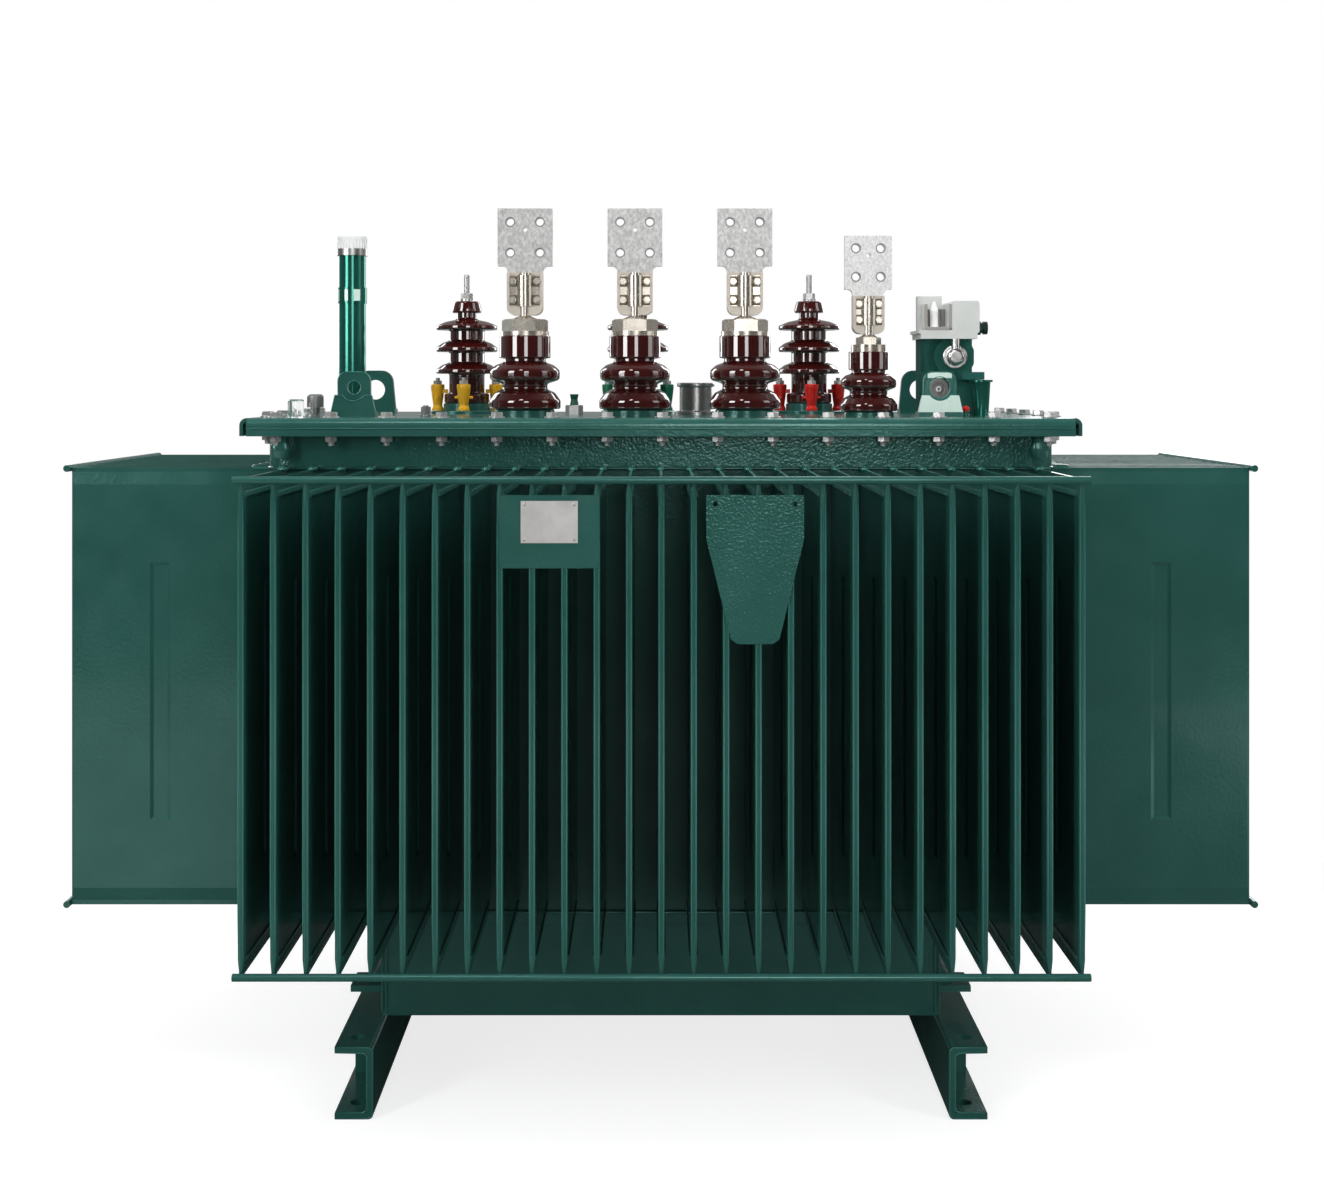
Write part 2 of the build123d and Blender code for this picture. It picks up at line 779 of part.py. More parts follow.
at_places("neutral_base_ring", base_ring(neutral_ring_radius, neutral_ring_height), [neutral_place])
at_places("neutral_insulator", lv_insulator(neutral_ring_height, neutral_porcelain_height, neutral_shed_radius,
                                            neutral_upper_shed_radius, neutral_waist_radius, neutral_neck_radius,
                                            neutral_head_radius), [neutral_place])
at_places("neutral_collar", lv_collar(neutral_collar_base, neutral_flange_radius, neutral_flange_height,
                                      neutral_hex_radius, neutral_hex_height, neutral_cone_radius,
                                      neutral_cone_height, neutral_clamp_base + neutral_clamp_height),
          [neutral_place])
at_places("neutral_clamp", clamp_cap(neutral_clamp_base, neutral_clamp_width, neutral_clamp_height),
          [neutral_place])
at_places("neutral_flag", lv_flag(neutral_clamp_base, neutral_clamp_width, neutral_clamp_height,
                                  neutral_flag_width, neutral_flag_height, neutral_hole_spacing_x,
                                  neutral_hole_spacing_z), [neutral_place])

# High-voltage porcelain: where a shed's crown bends, as shares of its reach and rise, and the cap's taper
crown_reach_share = 0.45
crown_rise_share = 0.62
cap_taper_share = 0.86


def hv_insulator():
    """Porcelain with a rounded foot, three umbrella sheds on a plain core, and a cap over a flared neck."""
    low = hv_ring_height
    top = low + hv_porcelain_height
    cap_low = top - hv_cap_height
    corners = [
        (0, low, 0),
        (hv_foot_radius, low, hv_foot_round),
        (hv_foot_radius, low + hv_foot_height, hv_foot_round),
        (hv_core_radius, low + hv_foot_height, hv_core_round),
    ]
    for i in range(3):
        under = low + hv_shed_first + i * hv_shed_pitch
        edge = under + hv_shed_edge
        is_top = i == 2
        crown = hv_neck_radius if is_top else hv_core_radius
        crest = cap_low - hv_neck_height if is_top else edge + hv_shed_rise
        corners += [
            (hv_core_radius, under, hv_core_round),
            (hv_shed_radius, under, hv_shed_round),
            (hv_shed_radius, edge, hv_shed_round),
            (
                hv_shed_radius - crown_reach_share * (hv_shed_radius - crown),
                edge + crown_rise_share * (crest - edge),
                hv_crown_round,
            ),
            (crown, crest, hv_neck_height / 2 if is_top else hv_core_round),
        ]
    corners += [
        (hv_neck_radius, cap_low, 0),
        (hv_cap_radius, cap_low, hv_shed_round),
        (hv_cap_radius, cap_low + hv_cap_lip, hv_cap_round),
        (cap_taper_share * hv_cap_radius, top, hv_cap_round),
        (0, top, 0),
    ]
    return turned(corners)


def hv_terminal():
    """Threaded stud with its washer and nut."""
    with BuildPart() as terminal:
        add(disc_stack((hv_washer_radius, hv_washer_height)))
        add(hexagon(hv_nut_radius, hv_nut_height, hv_washer_height))
        with BuildSketch():
            Circle(hv_stud_radius)
        extrude(amount=hv_stud_height)
    return terminal.part


# Levels of a foot clamp's vase shape as shares of its height
clamp_foot_share = 0.08
clamp_waist_share = 0.2
clamp_belly_share = 0.5
clamp_shoulder_share = 0.88


def hv_clamp():
    """A vase-shaped clamp with two ears; its finger points to -X and holds the porcelain's foot down."""
    top = hv_clamp_height
    belly = (hv_clamp_waist_radius + hv_clamp_top_radius) / 2
    finger_base = hv_ring_height + hv_foot_height + clearance - hv_flange_height
    with BuildPart() as clamp:
        add(turned([
            (0, 0, 0),
            (hv_clamp_foot_radius, 0, 0),
            (hv_clamp_foot_radius, clamp_foot_share * top, hv_clamp_round),
            (hv_clamp_waist_radius, clamp_waist_share * top, 2 * hv_clamp_round),
            (belly, clamp_belly_share * top, 2 * hv_clamp_round),
            (hv_clamp_top_radius, clamp_shoulder_share * top, 2 * hv_clamp_round),
            (hv_clamp_top_radius, top, hv_clamp_round),
            (0, top, 0),
        ]))
        with Locations((0, 0, clamp_belly_share * top)):
            Cylinder(hv_ear_radius, hv_ear_span, rotation=(90, 0, 0))
        with Locations((-hv_finger_reach / 2, 0, finger_base + hv_finger_height / 2)):
            Box(hv_finger_reach, hv_finger_width, hv_finger_height)
    return clamp.part


at_places("hv_base_rings", turned([
    (0, 0, 0),
    (hv_flange_radius, 0, 0),
    (hv_flange_radius, hv_flange_height, hv_ring_round),
    (hv_ring_radius, hv_flange_height, 0),
    (hv_ring_radius, hv_ring_height, hv_ring_round),
    (0, hv_ring_height, 0),
]), hv_places)
at_places("hv_insulators", hv_insulator(), hv_places)
stud_base = cover_top + hv_ring_height + hv_porcelain_height
at_places("hv_studs", hv_terminal(), [(x, y, stud_base) for x, y, z in hv_places])
for name, (x, y, z) in zip(("hv_clamps_left", "hv_clamps_middle", "hv_clamps_right"), hv_places):
    with BuildPart() as ring_of_clamps:
        with Locations((x, y, z + hv_flange_height)):
            with PolarLocations(hv_clamp_circle, 4):
                add(hv_clamp())
    pieces[name] = ring_of_clamps


def lug(width, foot_width, height, rounding, eye_rise, hole_radius, pad_width):
    """A lifting eye on its pad: a plate with round shoulders, drilled through along Y."""
    with BuildPart() as plate:
        with BuildSketch(Plane.XZ.offset(-lug_thickness / 2)):
            with BuildLine():
                FilletPolyline((0, 0), (foot_width / 2, 0), (width / 2, height), (0, height),
                               radius=[0, rounding])
                mirror(about=Plane.YZ)
            make_face()
            with Locations((0, eye_rise)):
                Circle(hole_radius, mode=Mode.SUBTRACT)
        extrude(amount=lug_thickness)
        with Locations((0, 0, lug_pad_height / 2)):
            Box(pad_width, lug_pad_depth, lug_pad_height)
    return plate.part


def saddle():
    """The plate that stands on a front lug's pad before its eye, scooped out around the eye."""
    with BuildPart() as plate:
        with BuildSketch(Plane.XZ.offset(lug_thickness / 2)):
            with BuildLine():
                Polyline(
                    (0, lug_pad_height),
                    (saddle_foot_width / 2, lug_pad_height),
                    (saddle_top_width / 2, saddle_height),
                    (0, saddle_height),
                )
                mirror(about=Plane.YZ)
            make_face()
            with Locations((0, front_lug_eye_rise)):
                Circle(saddle_scoop_radius, mode=Mode.SUBTRACT)
        extrude(amount=saddle_thickness)
    return plate.part


def front_lug(hole_radius):
    """A front lifting eye with the given hole."""
    return lug(front_lug_width, front_lug_width, front_lug_height, front_lug_round, front_lug_eye_rise,
               hole_radius, saddle_foot_width)


tank_end = tank_length / 2
lug_front_y = front_face + lug_edge_inset
front_left_place = (front_left_lug_inset - tank_end, lug_front_y, cover_top)
front_right_place = (tank_end - front_right_lug_inset, lug_front_y, cover_top)
back_left_place = (back_left_lug_inset - tank_end, -lug_front_y, cover_top)
back_right_place = (tank_end - back_right_lug_inset, -lug_front_y, cover_top)
with BuildPart() as front_left_lug:
    with Locations(front_left_place):
        add(front_lug(front_left_hole_radius))
        add(saddle())
pieces["front_left_lug"] = front_left_lug
at_places("front_right_lug", front_lug(front_right_hole_radius), [front_right_place])
at_places("front_right_saddle", saddle(), [front_right_place])
back_lug = lug(back_lug_width, back_lug_foot_width, back_lug_height, back_lug_round, back_lug_eye_rise,
               back_lug_hole_radius, back_lug_foot_width)
at_places("back_lugs", back_lug, [back_left_place, back_right_place])

# Filler pipe in its socket with a clamped band, its cap ring and its fluted cap
filler_x = filler_inset - tank_end
band_top = filler_band_low + filler_band_height
at_places("filler_pipe", turned([
    (0, 0, 0),
    (filler_foot_radius, 0, 0),
    (filler_foot_radius, filler_foot_height, filler_round),
    (filler_socket_radius, filler_foot_height, 0),
    (filler_socket_radius, filler_socket_height, filler_round),
    (filler_radius, filler_socket_height, 0),
    (filler_radius, filler_band_low, 0),
    (filler_band_radius, filler_band_low, 0),
    (filler_band_radius, band_top, 0),
    (filler_radius, band_top, 0),
    (filler_radius, filler_height, 0),
    (0, filler_height, 0),
]), [(filler_x, filler_y, cover_top)])
filler_top = cover_top + filler_height
at_places("filler_ring", disc_stack((filler_ring_radius, filler_ring_height)),
          [(filler_x, filler_y, filler_top)])
with BuildPart() as fluted_cap:
    add(turned([
        (0, 0, 0),
        (filler_cap_radius, 0, 0),
        (filler_cap_radius, filler_cap_height, filler_cap_round),
        (0, filler_cap_height, 0),
    ]))
    with PolarLocations(filler_cap_radius, filler_flute_count):
        Cylinder(filler_flute_radius, filler_flute_height, align=(Align.CENTER, Align.CENTER, Align.MIN),
                 mode=Mode.SUBTRACT)
at_places("filler_cap", fluted_cap.part, [(filler_x, filler_y, filler_top + filler_ring_height)])

# Tap-changer housing: a drum with a rolled rim on a wide foot
at_places("tap_changer_housing", turned([
    (0, 0, 0),
    (tap_foot_radius, 0, 0),
    (tap_foot_radius, tap_foot_height, tap_round),
    (tap_radius, tap_foot_height, tap_round),
    (tap_radius, tap_height - tap_rim_height, tap_round / 2),
    (tap_rim_radius, tap_height - tap_rim_height, tap_round),
    (tap_rim_radius, tap_height, tap_round),
    (0, tap_height, 0),
]), [(tap_x, tap_y, cover_top)])

# Vent plug: a hexagon, and the waisted, open cup that stands on it
at_places("vent_plug", hexagon(vent_hex_radius, vent_hex_height), [(vent_x, vent_y, cover_top)])
at_places("vent_cup", turned([
    (0, 0, 0),
    (vent_cup_radius, 0, 0),
    (vent_cup_waist, vent_cup_height / 2, vent_cup_waist),
    (vent_cup_radius, vent_cup_height, 0),
    (vent_cup_bore, vent_cup_height, 0),
    (vent_cup_bore, vent_cup_height - vent_cup_depth, 0),
    (0, vent_cup_height - vent_cup_depth, 0),
]), [(vent_x, vent_y, cover_top + vent_hex_height)])

# Sight cup on its foot ring
at_places("sight_cup", turned([
    (0, 0, 0),
    (sight_radius, 0, 0),
    (sight_radius, sight_foot_height, 0),
    (sight_radius - sight_round / 2, sight_foot_height, 0),
    (sight_radius - sight_round / 2, sight_height, sight_round),
    (0, sight_height, 0),
]), [(sight_inset - tank_end, front_face + sight_edge_inset, cover_top)])

# Thermometer pocket: a domed knob on a narrow neck
at_places("thermometer_pocket", turned([
    (0, 0, 0),
    (pocket_foot_radius, 0, 0),
    (pocket_neck_radius, pocket_foot_height, 0),
    (pocket_neck_radius, pocket_height - pocket_head_height, 0),
    (pocket_head_radius, pocket_height - pocket_head_height, 0),
    (pocket_head_radius, pocket_height, pocket_head_round),
    (0, pocket_height, 0),
]), [(pocket_inset - tank_end, front_face + pocket_edge_inset, cover_top)])

# Protection relay: cast body with a round boss and an arm that reaches over the side pipe
relay_x = tank_end - relay_inset
relay_front = relay_y - relay_body_depth / 2
boss_x = relay_x + relay_boss_x
boss_front = relay_front - relay_boss_length
pipe_x = relay_x + relay_pipe_shift
pipe_y = relay_y - relay_pipe_forward
pipe_top = cover_top + relay_pipe_height
arm_depth = relay_pipe_forward + relay_pipe_radius
with BuildPart() as relay_body:
    with BuildSketch(Plane.XY.offset(cover_top)):
        with Locations((relay_x, relay_y)):
            RectangleRounded(relay_body_width, relay_body_depth, relay_body_round)
    extrude(amount=relay_body_height)
    with Locations((relay_x, relay_front, cover_top + relay_skirt_height / 2)):
        Box(relay_skirt_width, 2 * relay_skirt_reach, relay_skirt_height)
    with BuildSketch(Plane.XZ.offset(-relay_y)):
        with Locations((boss_x, cover_top + relay_boss_z)):
            Circle(relay_boss_radius)
        with Locations((relay_x, cover_top + relay_body_height / 2)):
            Rectangle(relay_body_width, relay_body_height, mode=Mode.INTERSECT)
    extrude(amount=relay_y - boss_front)
    arm_z = pipe_top + clearance + relay_arm_height / 2
    with Locations((pipe_x - relay_arm_shift, relay_y - arm_depth / 2, arm_z)):
        Box(relay_arm_width, arm_depth, relay_arm_height)
pieces["relay_body"] = relay_body

# Relay knob: a flanged dome on the boss with a stem up to the head
with BuildPart() as relay_knob:
    with Locations((boss_x, boss_front, cover_top + relay_boss_z)):
        add(turned([
            (0, 0, 0),
            (relay_knob_radius, 0, 0),
            (relay_knob_radius, relay_knob_flange, relay_knob_round),
            (relay_dome_radius, relay_knob_flange, 0),
            (relay_dome_radius, relay_knob_length, relay_dome_round),
            (0, relay_knob_length, 0),
        ]), rotation=(90, 0, 0))
    with Locations((boss_x, boss_front - relay_knob_length / 2, cover_top + relay_boss_z)):
        Cylinder(relay_stem_radius, relay_body_height - relay_boss_z,
                 align=(Align.CENTER, Align.CENTER, Align.MIN))
pieces["relay_knob"] = relay_knob

# Relay head: base plate, tray, terminal box, back block and the cradle around the gauge
plate_base = cover_top + relay_body_height
tray_base = plate_base + relay_plate_height
tray_top = tray_base + relay_tray_height
head_back = relay_y + relay_body_depth / 2
head_front = head_back - relay_head_depth
head_y = (head_back + head_front) / 2
cradle_left = relay_x - relay_cradle_left
cradle_right = cradle_left + relay_cradle_width
cradle_top = tray_top + relay_cradle_height
cradle_floor = tray_top + relay_cradle_wall
box_right = relay_x + relay_box_left + relay_box_width
with BuildPart() as relay_head:
    plate_x = relay_x - relay_plate_left + relay_plate_width / 2
    with Locations((plate_x, head_y, plate_base + relay_plate_height / 2)):
        Box(relay_plate_width, relay_head_depth, relay_plate_height)
    tray_x = relay_x - relay_tray_left + relay_tray_width / 2
    with Locations((tray_x, head_y, tray_base + relay_tray_height / 2)):
        Box(relay_tray_width, relay_head_depth, relay_tray_height)
    with BuildSketch(Plane.XZ.offset(-head_back)):
        with Locations((box_right - relay_box_width / 2, tray_base + relay_box_height / 2)):
            RectangleRounded(relay_box_width, relay_box_height, relay_box_round)
    extrude(amount=relay_head_depth)
    with BuildSketch(Plane.XZ.offset(-head_front - relay_cradle_depth)):
        with BuildLine():
            inner = relay_cradle_round - relay_cradle_wall
            FilletPolyline(
                (cradle_left, cradle_top),
                (cradle_left, tray_top),
                (cradle_right, tray_top),
                (cradle_right, cradle_top),
                (cradle_right - relay_cradle_wall, cradle_top),
                (cradle_right - relay_cradle_wall, cradle_floor),
                (cradle_left + relay_cradle_wall, cradle_floor),
                (cradle_left + relay_cradle_wall, cradle_top),
                radius=[0, relay_cradle_round, relay_cradle_round, 0, 0, inner, inner, 0],
                close=True,
            )
        make_face()
    extrude(amount=relay_cradle_depth)
    with Locations((relay_x - relay_back_left + relay_back_width / 2,
                    head_front + relay_cradle_depth + relay_back_thickness / 2,
                    tray_top + relay_back_height / 2)):
        Box(relay_back_width, relay_back_thickness, relay_back_height)
pieces["relay_head"] = relay_head

# Gauge capsule between two posts, standing in the cradle
gauge_x = (cradle_left + cradle_right) / 2 - relay_gauge_shift
gauge_y = head_front + relay_cradle_depth / 2
post_stand = relay_gauge_radius + relay_post_radius + clearance
at_places("relay_gauge", turned([
    (0, 0, 0),
    (relay_gauge_radius, 0, 0),
    (relay_gauge_radius, relay_gauge_height - relay_gauge_tip, relay_gauge_tip / 2),
    (relay_gauge_nose, relay_gauge_height, 0),
    (0, relay_gauge_height, 0),
]), [(gauge_x, gauge_y, cradle_floor)])
at_places("relay_gauge_posts", disc_stack((relay_post_radius, relay_post_height)),
          [(gauge_x - post_stand, gauge_y, cradle_floor), (gauge_x + post_stand, gauge_y, cradle_floor)])

# Cable gland on the terminal box: neck, hexagon and cap
gland_neck = (relay_gland_length - relay_gland_nut_length - relay_gland_cap_length) / 2
gland_z = tray_base + relay_gland_nut_radius - relay_gland_drop
with BuildPart() as relay_gland:
    with Locations((box_right, head_y, gland_z)):
        add(disc_stack((relay_gland_radius, relay_gland_length - relay_gland_cap_length),
                       (relay_gland_cap_radius, relay_gland_cap_length)), rotation=(0, 90, 0))
        add(hexagon(relay_gland_nut_radius, relay_gland_nut_length, gland_neck), rotation=(0, 90, 0))
pieces["relay_gland"] = relay_gland

# Side pipe under the relay's arm, tapered to its foot
at_places("relay_pipe", turned([
    (0, 0, 0),
    (relay_pipe_foot_radius, 0, 0),
    (relay_pipe_radius, relay_pipe_height - relay_pipe_flange_height, 0),
    (relay_pipe_flange_radius, relay_pipe_height - relay_pipe_flange_height, 0),
    (relay_pipe_flange_radius, relay_pipe_height, 0),
    (0, relay_pipe_height, 0),
]), [(pipe_x, pipe_y, cover_top)])

# Plates on the front fin tips: the nameplate's holder, the bare nameplate and the shield plate
holder_back = -front_tip
holder_top = wall_top - plate_drop
with BuildPart() as nameplate_holder:
    with BuildSketch(Plane.XZ.offset(holder_back)):
        with Locations((holder_left + holder_width / 2, holder_top - holder_height / 2)):
            RectangleRounded(holder_width, holder_height, holder_corner)
    extrude(amount=holder_thickness)
pieces["nameplate_holder"] = nameplate_holder

with BuildPart() as nameplate:
    with BuildSketch(Plane.XZ.offset(holder_back + holder_thickness)):
        with Locations((holder_left + holder_width / 2, holder_top - nameplate_drop - nameplate_height / 2)):
            Rectangle(nameplate_width, nameplate_height)
    extrude(amount=nameplate_thickness)
pieces["nameplate"] = nameplate

with BuildPart() as shield_plate:
    middle = shield_left + shield_width / 2
    with BuildSketch(Plane.XZ.offset(holder_back)):
        with BuildLine():
            Polyline(
                (middle, holder_top),
                (middle + shield_width / 2, holder_top),
                (middle + shield_width / 2, holder_top - shield_shoulder),
                (middle + shield_foot_width / 2, holder_top - shield_height),
                (middle, holder_top - shield_height),
            )
            mirror(about=Plane.YZ.offset(middle))
        make_face()
        with Locations((middle, holder_top - shield_hole_inset)):
            with GridLocations(shield_width - 2 * shield_hole_inset, shield_width, 2, 1):
                Circle(shield_hole_radius, mode=Mode.SUBTRACT)
    extrude(amount=shield_thickness)
    foot_edges = shield_plate.edges().filter_by(Axis.Y).group_by(Axis.Z)[0]
    chamfer(foot_edges, shield_corner)
pieces["shield_plate"] = shield_plate

os.makedirs("parts", exist_ok=True)
for name, piece in pieces.items():
    piece.part.label = name
    export_step(piece.part, f"parts/{name}.step")
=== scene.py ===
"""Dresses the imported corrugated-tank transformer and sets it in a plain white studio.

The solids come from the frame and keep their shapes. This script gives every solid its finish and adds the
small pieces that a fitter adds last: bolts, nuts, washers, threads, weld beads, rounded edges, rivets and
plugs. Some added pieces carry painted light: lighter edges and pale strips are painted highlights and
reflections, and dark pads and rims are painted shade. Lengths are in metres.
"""
import json
import logging
import math
from dataclasses import dataclass, field
from enum import Enum, IntEnum
from typing import Iterable, Optional, Sequence

import bpy
import numpy as np
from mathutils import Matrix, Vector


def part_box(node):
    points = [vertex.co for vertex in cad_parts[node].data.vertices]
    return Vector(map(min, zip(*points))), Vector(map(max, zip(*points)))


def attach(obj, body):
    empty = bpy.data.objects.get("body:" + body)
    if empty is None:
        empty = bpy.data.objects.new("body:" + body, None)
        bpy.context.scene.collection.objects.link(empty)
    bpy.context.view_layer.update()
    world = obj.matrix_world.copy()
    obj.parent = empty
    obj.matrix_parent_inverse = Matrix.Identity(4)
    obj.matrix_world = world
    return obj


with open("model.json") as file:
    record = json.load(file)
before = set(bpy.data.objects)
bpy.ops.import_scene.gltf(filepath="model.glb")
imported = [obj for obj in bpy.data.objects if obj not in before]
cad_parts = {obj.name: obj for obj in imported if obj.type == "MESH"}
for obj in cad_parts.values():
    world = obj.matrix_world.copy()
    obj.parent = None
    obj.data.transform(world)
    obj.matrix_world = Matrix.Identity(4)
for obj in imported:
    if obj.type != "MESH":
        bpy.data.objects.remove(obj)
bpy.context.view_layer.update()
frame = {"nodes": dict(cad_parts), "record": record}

Array = np.ndarray
Colour = tuple[float, float, float]
Place = tuple[float, float, float]
Size = tuple[float, float]
Profile = tuple[Size, ...]
Socket = bpy.types.NodeSocket
Tree = bpy.types.NodeTree
log = logging.getLogger("transformer")

MM = 0.001
BODY = "root"
FRONT, BACK = (0.0, -1.0, 0.0), (0.0, 1.0, 0.0)
UP, DOWN = (0.0, 0.0, 1.0), (0.0, 0.0, -1.0)
SIDES = (-1, 1)
CORNERS = ((-1, -1), (-1, 1), (1, -1), (1, 1))

FIN_PITCH = 50 * MM
LONG_SIDE_FINS = 27
END_FINS = 12

BEAD_STEP = 0.0021
LOOP_STEP = 0.0024
STRIP_STEP = 4 * MM


class Crease(Enum):
    """Degrees over which an edge stays sharp, by kind of piece."""

    TURNED = 32.0
    STRIP = 40.0
    CAST = 50.0
    THREAD = 60.0
    BEAD = 80.0


class Seed(IntEnum):
    """First seed of each family of weld beads."""

    TANK_LOOP = 0
    LONG_ROOT = 10
    END_ROOT = 20
    PLATE_OUTER = 30
    PLATE_INNER = 40
    BEAM = 50
    CREASE = 60


# Surfaces


@dataclass
class Surface:
    """A mesh as whole arrays.

    Attributes:
        points: Corner points, n by 3.
        quads: Four point numbers a face, outward side anticlockwise.
        tris: Three point numbers a face.
    """

    points: Array
    quads: Array = field(default_factory=lambda: np.zeros((0, 4), int))
    tris: Array = field(default_factory=lambda: np.zeros((0, 3), int))

    def moved(self, offset: Sequence[float]) -> "Surface":
        """The same surface moved by offset."""
        return Surface(self.points + np.asarray(offset, float), self.quads, self.tris)

    def aimed(self, axis: Sequence[float]) -> "Surface":
        """Turns the surface so that its own +Z points along axis.

        Args:
            axis: Direction that +Z goes to, a unit vector across X.

        Returns:
            The turned surface: each point is x along X, plus y times the other side, plus z times the axis.
        """
        side = np.array([1.0, 0.0, 0.0])
        up = np.asarray(axis, float)
        return Surface(self.points @ np.stack([side, np.cross(up, side), up]), self.quads, self.tris)

    def at(self, places: Array) -> "Surface":
        """Repeats the surface: each place is added to every point, and face numbers step by the point count.

        Args:
            places: Positions, n by 3.

        Returns:
            One surface with a copy at each place.
        """
        places = np.asarray(places, float).reshape(-1, 3)
        step = (np.arange(len(places)) * len(self.points))[:, None, None]
        points = (places[:, None, :] + self.points[None, :, :]).reshape(-1, 3)
        quads = (self.quads[None, :, :] + step).reshape(-1, 4)
        tris = (self.tris[None, :, :] + step).reshape(-1, 3)
        return Surface(points, quads, tris)

    @staticmethod
    def joined(parts: Iterable["Surface"]) -> "Surface":
        """All the parts as one surface, with each part's face numbers stepped past the points before it."""
        parts = list(parts)
        starts = np.cumsum([0] + [len(p.points) for p in parts[:-1]])
        return Surface(
            np.concatenate([p.points for p in parts]),
            np.concatenate([p.quads + s for p, s in zip(parts, starts)]),
            np.concatenate([p.tris + s for p, s in zip(parts, starts)]),
        )

    def to_object(self, name: str, finish: "Finish", crease: Crease = Crease.TURNED) -> None:
        """Makes a dressed Blender object of the surface that rides the frame's body, its place in its mesh.

        Args:
            name: The piece's name.
            finish: What it is made of.
            crease: The angle over which its edges stay sharp.
        """
        mesh = bpy.data.meshes.new(name)
        mesh.from_pydata(self.points.tolist(), [], self.quads.tolist() + self.tris.tolist())
        mesh.polygons.foreach_set("use_smooth", np.ones(len(mesh.polygons), bool))
        mesh.set_sharp_from_angle(angle=math.radians(crease.value))
        mesh.materials.append(finish.material())
        mesh.update()
        piece = bpy.data.objects.new(name, mesh)
        bpy.context.scene.collection.objects.link(piece)
        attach(piece, BODY)
        log.info("piece %s: %d faces", name, len(mesh.polygons))


def full_turn(around: int) -> Array:
    """Evenly spaced angles of one full turn."""
    return np.arange(around) * (2 * math.pi / around)


def ring_faces(rings: int, around: int) -> Array:
    """Quads between successive closed rings, outward when rings climb and points go anticlockwise."""
    i, j = np.meshgrid(np.arange(rings - 1), np.arange(around), indexing="ij")
    k = (j + 1) % around
    low, high = i * around, (i + 1) * around
    return np.stack([low + j, low + k, high + k, high + j], -1).reshape(-1, 4)


def capped(rings: Array) -> Surface:
    """Closes a stack of rings with a fan from the middle of the first and of the last ring.

    Args:
        rings: Points, rings by around by 3, climbing from the first to the last.

    Returns:
        The closed surface.
    """
    count, around = rings.shape[:2]
    low, high = count * around, count * around + 1
    points = np.concatenate([rings.reshape(-1, 3), rings[0].mean(0)[None], rings[-1].mean(0)[None]])
    j = np.arange(around)
    k = (j + 1) % around
    last = (count - 1) * around
    bottom = np.stack([np.full(around, low), k, j], -1)
    top = np.stack([np.full(around, high), last + j, last + k], -1)
    return Surface(points, ring_faces(count, around), np.concatenate([bottom, top]))


def looped(rings: Array) -> Surface:
    """Closes a stack of rings into a loop: the last ring joins the first."""
    count, around = rings.shape[:2]
    return Surface(rings.reshape(-1, 3), ring_faces(count + 1, around) % (count * around))


def rings_about_z(radius: Array, level: Array, angle: Array) -> Array:
    """The points (r cos a, r sin a, z) of radii, heights and angles that fit, rings by around by 3."""
    radius, level, angle = np.broadcast_arrays(radius, level, angle)
    return np.stack([radius * np.cos(angle), radius * np.sin(angle), level], -1)


def lathe(profile: Sequence[tuple[float, float]], around: int = 32) -> Surface:
    """Turns a profile about Z: the point at angle a and step s is (r(s) cos a, r(s) sin a, z(s)).

    Args:
        profile: Radius and height pairs from the bottom to the top.
        around: Points round each ring.

    Returns:
        The closed surface.
    """
    shape = np.asarray(profile, float)
    return capped(rings_about_z(shape[:, :1], shape[:, 1:], full_turn(around)))


def hoop(section: Sequence[tuple[float, float]], around: int = 28) -> Surface:
    """Turns a closed section about Z, by the lathe's formula.

    Args:
        section: Radius and height pairs, up the outer side and down the inner one.
        around: Points round each ring.

    Returns:
        The closed ring.
    """
    shape = np.asarray(section, float)
    return looped(rings_about_z(shape[:, :1], shape[:, 1:], full_turn(around)))


def in_mm(profile: Profile) -> Array:
    """A profile given in millimetres, in metres."""
    return np.asarray(profile, float) * MM


def hexagon(flat: float, height: float, both: bool = False) -> Surface:
    """A hexagon with coned corners: its radius at angle a is the smaller of flat / cos(a') and the cone's,
    where a' is the angle to the nearest flat.

    Args:
        flat: Half the width across flats.
        height: Height.
        both: Whether the lower corners are coned as well.

    Returns:
        The closed surface standing on the floor.
    """
    around, drop_share, corner_share, fall_share = 36, 0.14, 1.16, 0.2
    angle = full_turn(around)
    near = (angle + math.pi / 6) % (math.pi / 3) - math.pi / 6
    side = flat / np.cos(near)
    drop = drop_share * flat
    share = np.array([0.0, 0.35, 0.7, 1.0])
    cone = flat * (corner_share - fall_share * share)
    low_level, low_cone = (drop * share, cone[::-1]) if both else (np.zeros(1), cone[:1])
    level = np.concatenate([low_level, height - drop + drop * share])
    limit = np.concatenate([low_cone, cone])
    return capped(rings_about_z(np.minimum(side[None, :], limit[:, None]), level[:, None], angle))


def thread(radius: float, height: float, pitch: float, depth: float, around: int) -> Surface:
    """A threaded rod: at angle a and height z its groove is a triangle wave of z / pitch - a / 2 pi.

    Args:
        radius: Radius over the crests.
        height: Length.
        pitch: Rise of one turn.
        depth: Depth of the groove.
        around: Points round.

    Returns:
        The closed rod, its last turn fading into a small chamfer.
    """
    rows_a_turn, least_rows = 6, 8
    rows = max(int(height / pitch * rows_a_turn), least_rows) + 1
    level = np.linspace(0.0, height, rows)[:, None]
    angle = full_turn(around)[None, :]
    phase = (level / pitch - angle / (2 * math.pi)) % 1.0
    groove = 1.0 - np.abs(2.0 * phase - 1.0)
    end = np.clip((height - level) / pitch, 0.0, 1.0)
    return capped(rings_about_z(radius - depth * (1.0 - groove * end), level, angle))


